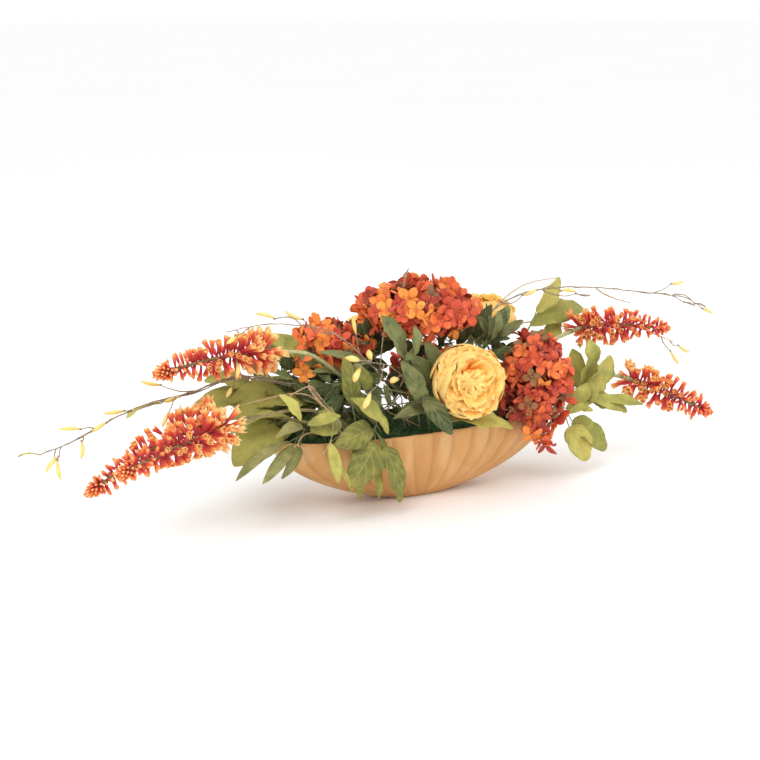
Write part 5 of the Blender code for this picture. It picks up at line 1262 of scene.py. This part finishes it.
# ---- torch lily ----
# How a spike's florets change from its base to its tip, as (share of the spike, value)
FLORET_LEAN = ((0.0, 132), (0.25, 114), (0.5, 98), (0.85, 80), (1.0, 62))      # degrees from the axis
FLORET_LENGTH_SHARE = ((0.0, 1.0), (0.2, 0.84), (0.5, 0.70), (0.85, 0.56), (1.0, 0.46))
FLORET_TONE = ((0.0, 0.66), (0.5, 0.42), (1.0, 0.34))
FLORET_SIDES = 10
# Outline of an open floret and of a bud, as (share of the length, radius in metres)
OPEN_FLORET = ((0.0, 0.0010), (0.15, 0.0012), (0.40, 0.0016), (0.65, 0.0022), (0.85, 0.0030),
               (0.95, 0.0036))
BUD = ((0.0, 0.0009), (0.15, 0.0013), (0.40, 0.0019), (0.70, 0.0023), (0.88, 0.0020), (0.97, 0.0012),
       (1.0, 0.0004))
TORN_RIM = ((1.0, 0.07), (1.02, 0.18))      # share of the length and ragged reach past it
STAMEN = (0.0004, 0.0005)
STAMENS = 3
FLORET_BEND = (0.0, 0.18)       # pull of its backward bend, as a share of its length
LEAN_SPREAD = 11                # degrees
LENGTH_SPREAD = (0.82, 1.14)
TONE_SPREAD = 0.14
SPIKE_POINTS = 40
SPIKE_KNOBS = 0.22
BUDS_FROM = 0.74                # share of the spike where florets stay closed
ROSETTE_FROM = 0.93             # and where the blunt tip of small buds starts
ROSETTE_BUDS = 46
ROSETTE_BUD_LENGTH = 0.0118


def add_tube_floret(shape, root, goal, axis, size, raggedness, tone, draw):
    """A trumpet that bends back a little, with a torn rim and stamens round an inner cone."""
    along = goal - root
    length = np.linalg.norm(along)
    bend = -axis * length * draw.uniform(*FLORET_BEND)
    u = square_to(along / length, axis)
    ring = circle(u, np.cross(along / length, u), FLORET_SIDES)
    torn = draw.uniform(0.0, 1.0, FLORET_SIDES) + 0.5 * (np.arange(FLORET_SIDES) % 2)
    rows = [root + along * share + bend * (share - share ** 2) + ring * radius * size
            for share, radius in OPEN_FLORET]
    for share, stretch in TORN_RIM:
        reach = (stretch * raggedness * torn)[:, None]
        radii = (OPEN_FLORET[-1][1] + 0.0006 * torn[:, None] * raggedness) * size
        rows.append(root + along * share + along * reach + ring * radii)
    shape.sheet(np.array(rows), PETAL_THICKNESS, 0, tone, closed=True)
    inner = np.array([root + along * s + bend * (s - s * s) for s in (0.62, 0.86, 0.97)])
    shape.tube(inner, np.array((0.0022, 0.0024, 0.0010)) * size, 6, 2, tone)
    for i in range(STAMENS):
        away = ring[(i * 3 + 1) % FLORET_SIDES] * 0.0018 * size
        start = root + along * 0.85 + away * 0.5
        reach = 1.02 + 0.12 * raggedness * draw.uniform(0.3, 1.0)
        tip = root + along * reach + away * draw.uniform(0.8, 2.2)
        shape.tube(np.array([start, (start + tip) / 2, tip]), STAMEN, 4, 2, tone)


def add_bud(shape, root, goal, size, tone):
    """A closed floret."""
    t, radii = np.array(BUD).T
    shape.tube(root + (goal - root) * t[:, None], radii * size, 8, 0, tone)


def make_torch_lily(name, spec, finishes):
    """A spike of tubular florets: a blunt brush of buds at the tip, long trumpets at the base."""
    end, ahead = make_stem(name, spec, finishes[spec.get("skin", "stem_pale")])
    draw = np.random.default_rng(spec["seed"])
    tip = vec(spec["tip"])
    bend = end + ahead * np.linalg.norm(tip - end) * SPIKE_BEND

    def spine(t):
        return arc(end, bend, tip, t)

    def axis_at(t):
        return unit((bend - end) * (1 - t) + (tip - bend) * t)

    shape = Shape()
    steps = np.linspace(0, 1, SPIKE_POINTS)
    knobs = 1.0 + SPIKE_KNOBS * np.sin(np.arange(SPIKE_POINTS) * 2.4)
    shape.tube(spine(steps[:, None] * 0.98), SPIKE_RADIUS * (1 - 0.45 * steps) * knobs, 10, 1)
    bare = spec["bare"]
    shape.tube(spine(column(8) * (bare + 0.02)), (spec["radius"] * MM, SPIKE_RADIUS * 1.1), 12, 3)
    for i in range(spec["blooms"]):
        share = bare + (ROSETTE_FROM - bare) * ((i + 0.6) / spec["blooms"]) ** 0.95
        axis = axis_at(share)
        out = turned(axis, GOLDEN_ANGLE * i + draw.normal(0, 0.3))
        lean = math.radians(between(FLORET_LEAN, share) + draw.normal(0, LEAN_SPREAD))
        length = TUBE_FLORET_LENGTH * between(FLORET_LENGTH_SHARE, share) * draw.uniform(*LENGTH_SPREAD)
        length *= between(((0.0, spec["base"]), (0.35, 1.0), (0.6, spec["girth"])), share)
        root = spine(share) + out * SPIKE_RADIUS * 0.5
        goal = root + (axis * math.cos(lean) + out * math.sin(lean)) * length
        tone = between(FLORET_TONE, share) + draw.uniform(-TONE_SPREAD, TONE_SPREAD) + spec["warmth"]
        if share < BUDS_FROM:
            size, raggedness = 1.02 - 0.20 * share, 1.7 - 1.9 * share
            add_tube_floret(shape, root, goal, axis, size, raggedness, tone, draw)
        else:
            add_bud(shape, root, goal, 0.98, tone)
    tip_axis = axis_at(1.0)
    for i in range(ROSETTE_BUDS):
        share = (i + 0.5) / ROSETTE_BUDS
        lean = math.radians(92 - 84 * share ** 0.8)
        out = turned(tip_axis, GOLDEN_ANGLE * i)
        root = spine(ROSETTE_FROM + 0.055 * share) + out * 0.0010
        length = ROSETTE_BUD_LENGTH * draw.uniform(0.85, 1.15)
        goal = root + (tip_axis * math.cos(lean) + out * math.sin(lean)) * length
        add_bud(shape, root, goal, 0.72, 0.40 + spec["warmth"] + draw.uniform(-0.25, 0.2))
    skins = pick(finishes, "torch_lily", "stem_knob", "stamen", "stem_pale")
    make_piece(name + "_bloom", shape, skins, name + "_spike")


# ---- pod twigs ----
# Outline of a pod as (share of its length, radius in metres)
POD = ((0.0, 0.0007), (0.08, 0.0012), (0.22, 0.0019), (0.42, 0.0026), (0.62, 0.0027), (0.80, 0.0020),
       (0.93, 0.0011), (1.0, 0.0003))
POD_LENGTH = 0.026
POD_TWIG = (0.0009, 0.0006)     # radii at the start and the end
TENDRIL = (0.0010, 0.0006)
TWIG_POINTS = 60
KNOT_SWELL = 0.30
KNOT_CHANCE = 0.20              # of a point of a twig being swollen
TWIG_KINKS = 0.0003             # spread of the random kinks, metres
TENDRIL_KINKS = 0.0002
POD_KINKS = 0.0004


def wander(path, amount, draw):
    """The path with small random kinks, none at its ends."""
    kinks = draw.normal(0, amount, path.shape)
    kinks[0] = kinks[-1] = 0
    return path + kinks


def add_twig(shape, path, first, last, draw, slot=0):
    """A crooked twig with swollen joints."""
    lumps = 1.0 + KNOT_SWELL * (draw.uniform(0, 1, len(path)) > 1 - KNOT_CHANCE)
    shape.tube(path, np.linspace(first, last, len(path)) * lumps, 7, slot, draw.uniform(0, 1))


def add_pod(shape, foot, tip, draw, plump=1.0, slot=1):
    """A side twig that ends in a slim, slightly bent pod."""
    along = tip - foot
    length = np.linalg.norm(along)
    share = min(POD_LENGTH / length, 0.8)
    neck = foot + along * (1 - share)
    side = turned(along / length, draw.uniform(0, 6.3))
    t = column(8)
    twig = foot + (neck - foot) * t + side * 0.10 * length * np.sin(math.pi * t)
    add_twig(shape, wander(twig, POD_KINKS, draw), *POD_TWIG, draw)
    t, radii = np.array(POD).T
    t = t[:, None]
    body = neck + (tip - neck) * t + side * 0.08 * share * length * 4 * t * (1 - t)
    shape.tube(body, radii * plump, 9, slot, draw.uniform(0, 1))
    collar = np.array([[-0.06], [0.0], [0.07]])
    shape.tube(neck + (tip - neck) * collar, (0.0008, 0.0016, 0.0014), 7, 0)


def make_spray(name, spec, finishes):
    """A crooked twig with the strands, tendrils, leaves and pods that the layout gives it."""
    draw = np.random.default_rng(sum(map(ord, name)))
    points = [vec(p) for p in spec["stem"]]
    path = even_path(smooth_path(points), TWIG_POINTS)
    radius = spec["radius"] * MM
    shape = Shape()
    add_twig(shape, wander(path, TWIG_KINKS, draw), radius * 0.9, radius * 0.4, draw)
    for strand in range(spec.get("strands", 0)):
        turns = np.linspace(0, 2 * math.pi * (3 + strand), len(path)) + strand * 2.1
        away = np.column_stack((0 * turns, np.cos(turns), np.sin(turns)))
        gap = radius * 1.6 * np.sin(np.linspace(0, math.pi, len(path)))[:, None] + 0.0004
        part = (path + away * gap)[: int(len(path) * (0.95 - 0.2 * strand))]
        add_twig(shape, wander(part, TWIG_KINKS, draw), radius * 0.5, radius * 0.3, draw)
    reach = [path]
    for tendril in spec.get("tendrils", ()):
        curve = smooth_path([vec(p) for p in tendril])
        reach.append(curve)
        add_twig(shape, wander(curve, TENDRIL_KINKS, draw), *TENDRIL, draw, 3)
    for blade in spec.get("leaves", ()):
        add_leaf(shape, place_along(points, blade["at"]), blade, draw, 2, 0)
    reach = np.concatenate(reach)
    for start, goal in spec.get("pods", ()):
        add_pod(shape, nearest(reach, vec(start)), vec(goal), draw, spec.get("plump", 1.0))
    for start, goal in spec.get("buds", ()):
        add_pod(shape, nearest(path, vec(start)), vec(goal), draw, 0.6, 0)
    skins = pick(finishes, "twig", "pod", "leaf_pale", "tendril")
    make_piece(name + "_twigs", shape, skins, name)


# ---- stage, light and camera ----
def aim(item, target):
    item.rotation_euler = (Vector(target) - item.location).to_track_quat("-Z", "Y").to_euler()


def make_lamp(name, place, size, power):
    """A soft round lamp that looks at the arrangement."""
    light = bpy.data.lights.new(name, "AREA")
    light.shape = "DISK"
    light.size = size
    light.energy = power
    lamp = add_object(name, light)
    lamp.location = place
    aim(lamp, CAMERA_TARGET)


def make_stage():
    """Pale floor, even white surroundings and large soft lamps."""
    mesh = bpy.data.meshes.new("floor")
    h = FLOOR_HALF
    mesh.from_pydata([(-h, -h, 0), (h, -h, 0), (h, h, 0), (-h, h, 0)], [], [(0, 1, 2, 3)])
    mesh.materials.append(floor_finish())
    add_object("floor", mesh)
    world = bpy.data.worlds.new("studio")
    world.use_nodes = True
    sky = world.node_tree.nodes["Background"]
    sky.inputs["Color"].default_value = (1.0, 1.0, 1.0, 1.0)
    sky.inputs["Strength"].default_value = 1.0
    bpy.context.scene.world = world
    for lamp in LAMPS:
        make_lamp(*lamp)
    bpy.context.scene.view_settings.view_transform = "Standard"


def make_camera():
    camera = add_object("camera", bpy.data.cameras.new("camera"))
    camera.data.lens = CAMERA_LENS
    camera.location = CAMERA_PLACE
    aim(camera, CAMERA_TARGET)
    bpy.context.scene.camera = camera


# ---- assembly ----
# Leaves: dark and light green, rib, yellowed patches
LEAF_COLOURS = {
    "leaf_olive": ((0.155, 0.155, 0.033), (0.37, 0.345, 0.080), (0.44, 0.42, 0.14), (0.38, 0.29, 0.07)),
    "leaf_pale": ((0.25, 0.26, 0.052), (0.52, 0.48, 0.120), (0.42, 0.24, 0.10), (0.52, 0.38, 0.10)),
    "leaf_sage": ((0.18, 0.185, 0.055), (0.36, 0.33, 0.115), (0.50, 0.48, 0.24), (0.38, 0.32, 0.10)),
    "leaf_dark": ((0.060, 0.078, 0.024), (0.22, 0.24, 0.088), (0.29, 0.31, 0.14), (0.22, 0.18, 0.06)),
}
# Plain skins: name, two shades, lowest and highest roughness, then the bump's spots to a metre, detail
# and depth
PLAIN_SKINS = {
    "foam": ("foam_green", (0.02, 0.05, 0.02), (0.07, 0.13, 0.05), (0.8, 0.98), 1200, 4, 0.0006),
    "twig": ("twig_bark", (0.19, 0.13, 0.080), (0.42, 0.33, 0.22), (0.6, 0.85), 320, 4, 0.0003),
    "tendril": ("tendril_tan", (0.36, 0.21, 0.10), (0.56, 0.40, 0.22), (0.6, 0.85), 320, 4, 0.0003),
    "stem": ("stem_green", (0.13, 0.16, 0.05), (0.22, 0.25, 0.09), (0.52, 0.68)),
    "stem_pale": ("stem_pale_green", (0.34, 0.34, 0.14), (0.50, 0.48, 0.24), (0.47, 0.63)),
    "stem_olive": ("stem_olive_brown", (0.17, 0.13, 0.045), (0.30, 0.24, 0.09), (0.52, 0.68)),
    "stem_knob": ("spike_core", (0.16, 0.13, 0.04), (0.30, 0.24, 0.07), (0.62, 0.78), 600),
    "stalk_red": ("floret_stalk", (0.16, 0.05, 0.03), (0.25, 0.12, 0.05), (0.67, 0.83)),
    "stamen": ("stamen_yellow", (0.90, 0.55, 0.12), (0.98, 0.72, 0.25), (0.62, 0.78), 1500),
    "bead": ("floret_bead", (0.62, 0.30, 0.22), (0.75, 0.48, 0.36), (0.62, 0.78), 2000),
}


def make_finishes():
    """Every material, by the kind of surface that wears it."""
    finishes = dict(bowl=bowl_finish(), bowl_inside=bowl_inside_finish(), moss=moss_finish(),
                    hydrangea=hydrangea_finish(), peony=peony_finish(), torch_lily=torch_lily_finish(),
                    pod=pod_finish())
    for kind, colours in LEAF_COLOURS.items():
        finishes[kind] = leaf_finish(kind + "_silk", *colours)
    for kind, skin in PLAIN_SKINS.items():
        finishes[kind] = plain_finish(*skin)
    return finishes


def main():
    finishes = make_finishes()
    make_stage()
    make_camera()
    make_bowl(pick(finishes, "bowl", "bowl_inside"))
    make_moss(pick(finishes, "moss"))
    for face_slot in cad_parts["foam"].material_slots:
        face_slot.material = finishes["foam"]
    heads = [(vec(spec["centre"]), np.full(3, PEONY_RADIUS)) for spec in PEONIES.values()]
    for name, spec in HYDRANGEAS.items():
        make_hydrangea(name, spec, heads, finishes)
    for layout, make in ((PEONIES, make_peony), (TORCH_LILIES, make_torch_lily), (SPRAYS, make_spray),
                         (LEAFY_STEMS, make_leafy_stem)):
        for name, spec in layout.items():
            make(name, spec, finishes)


main()
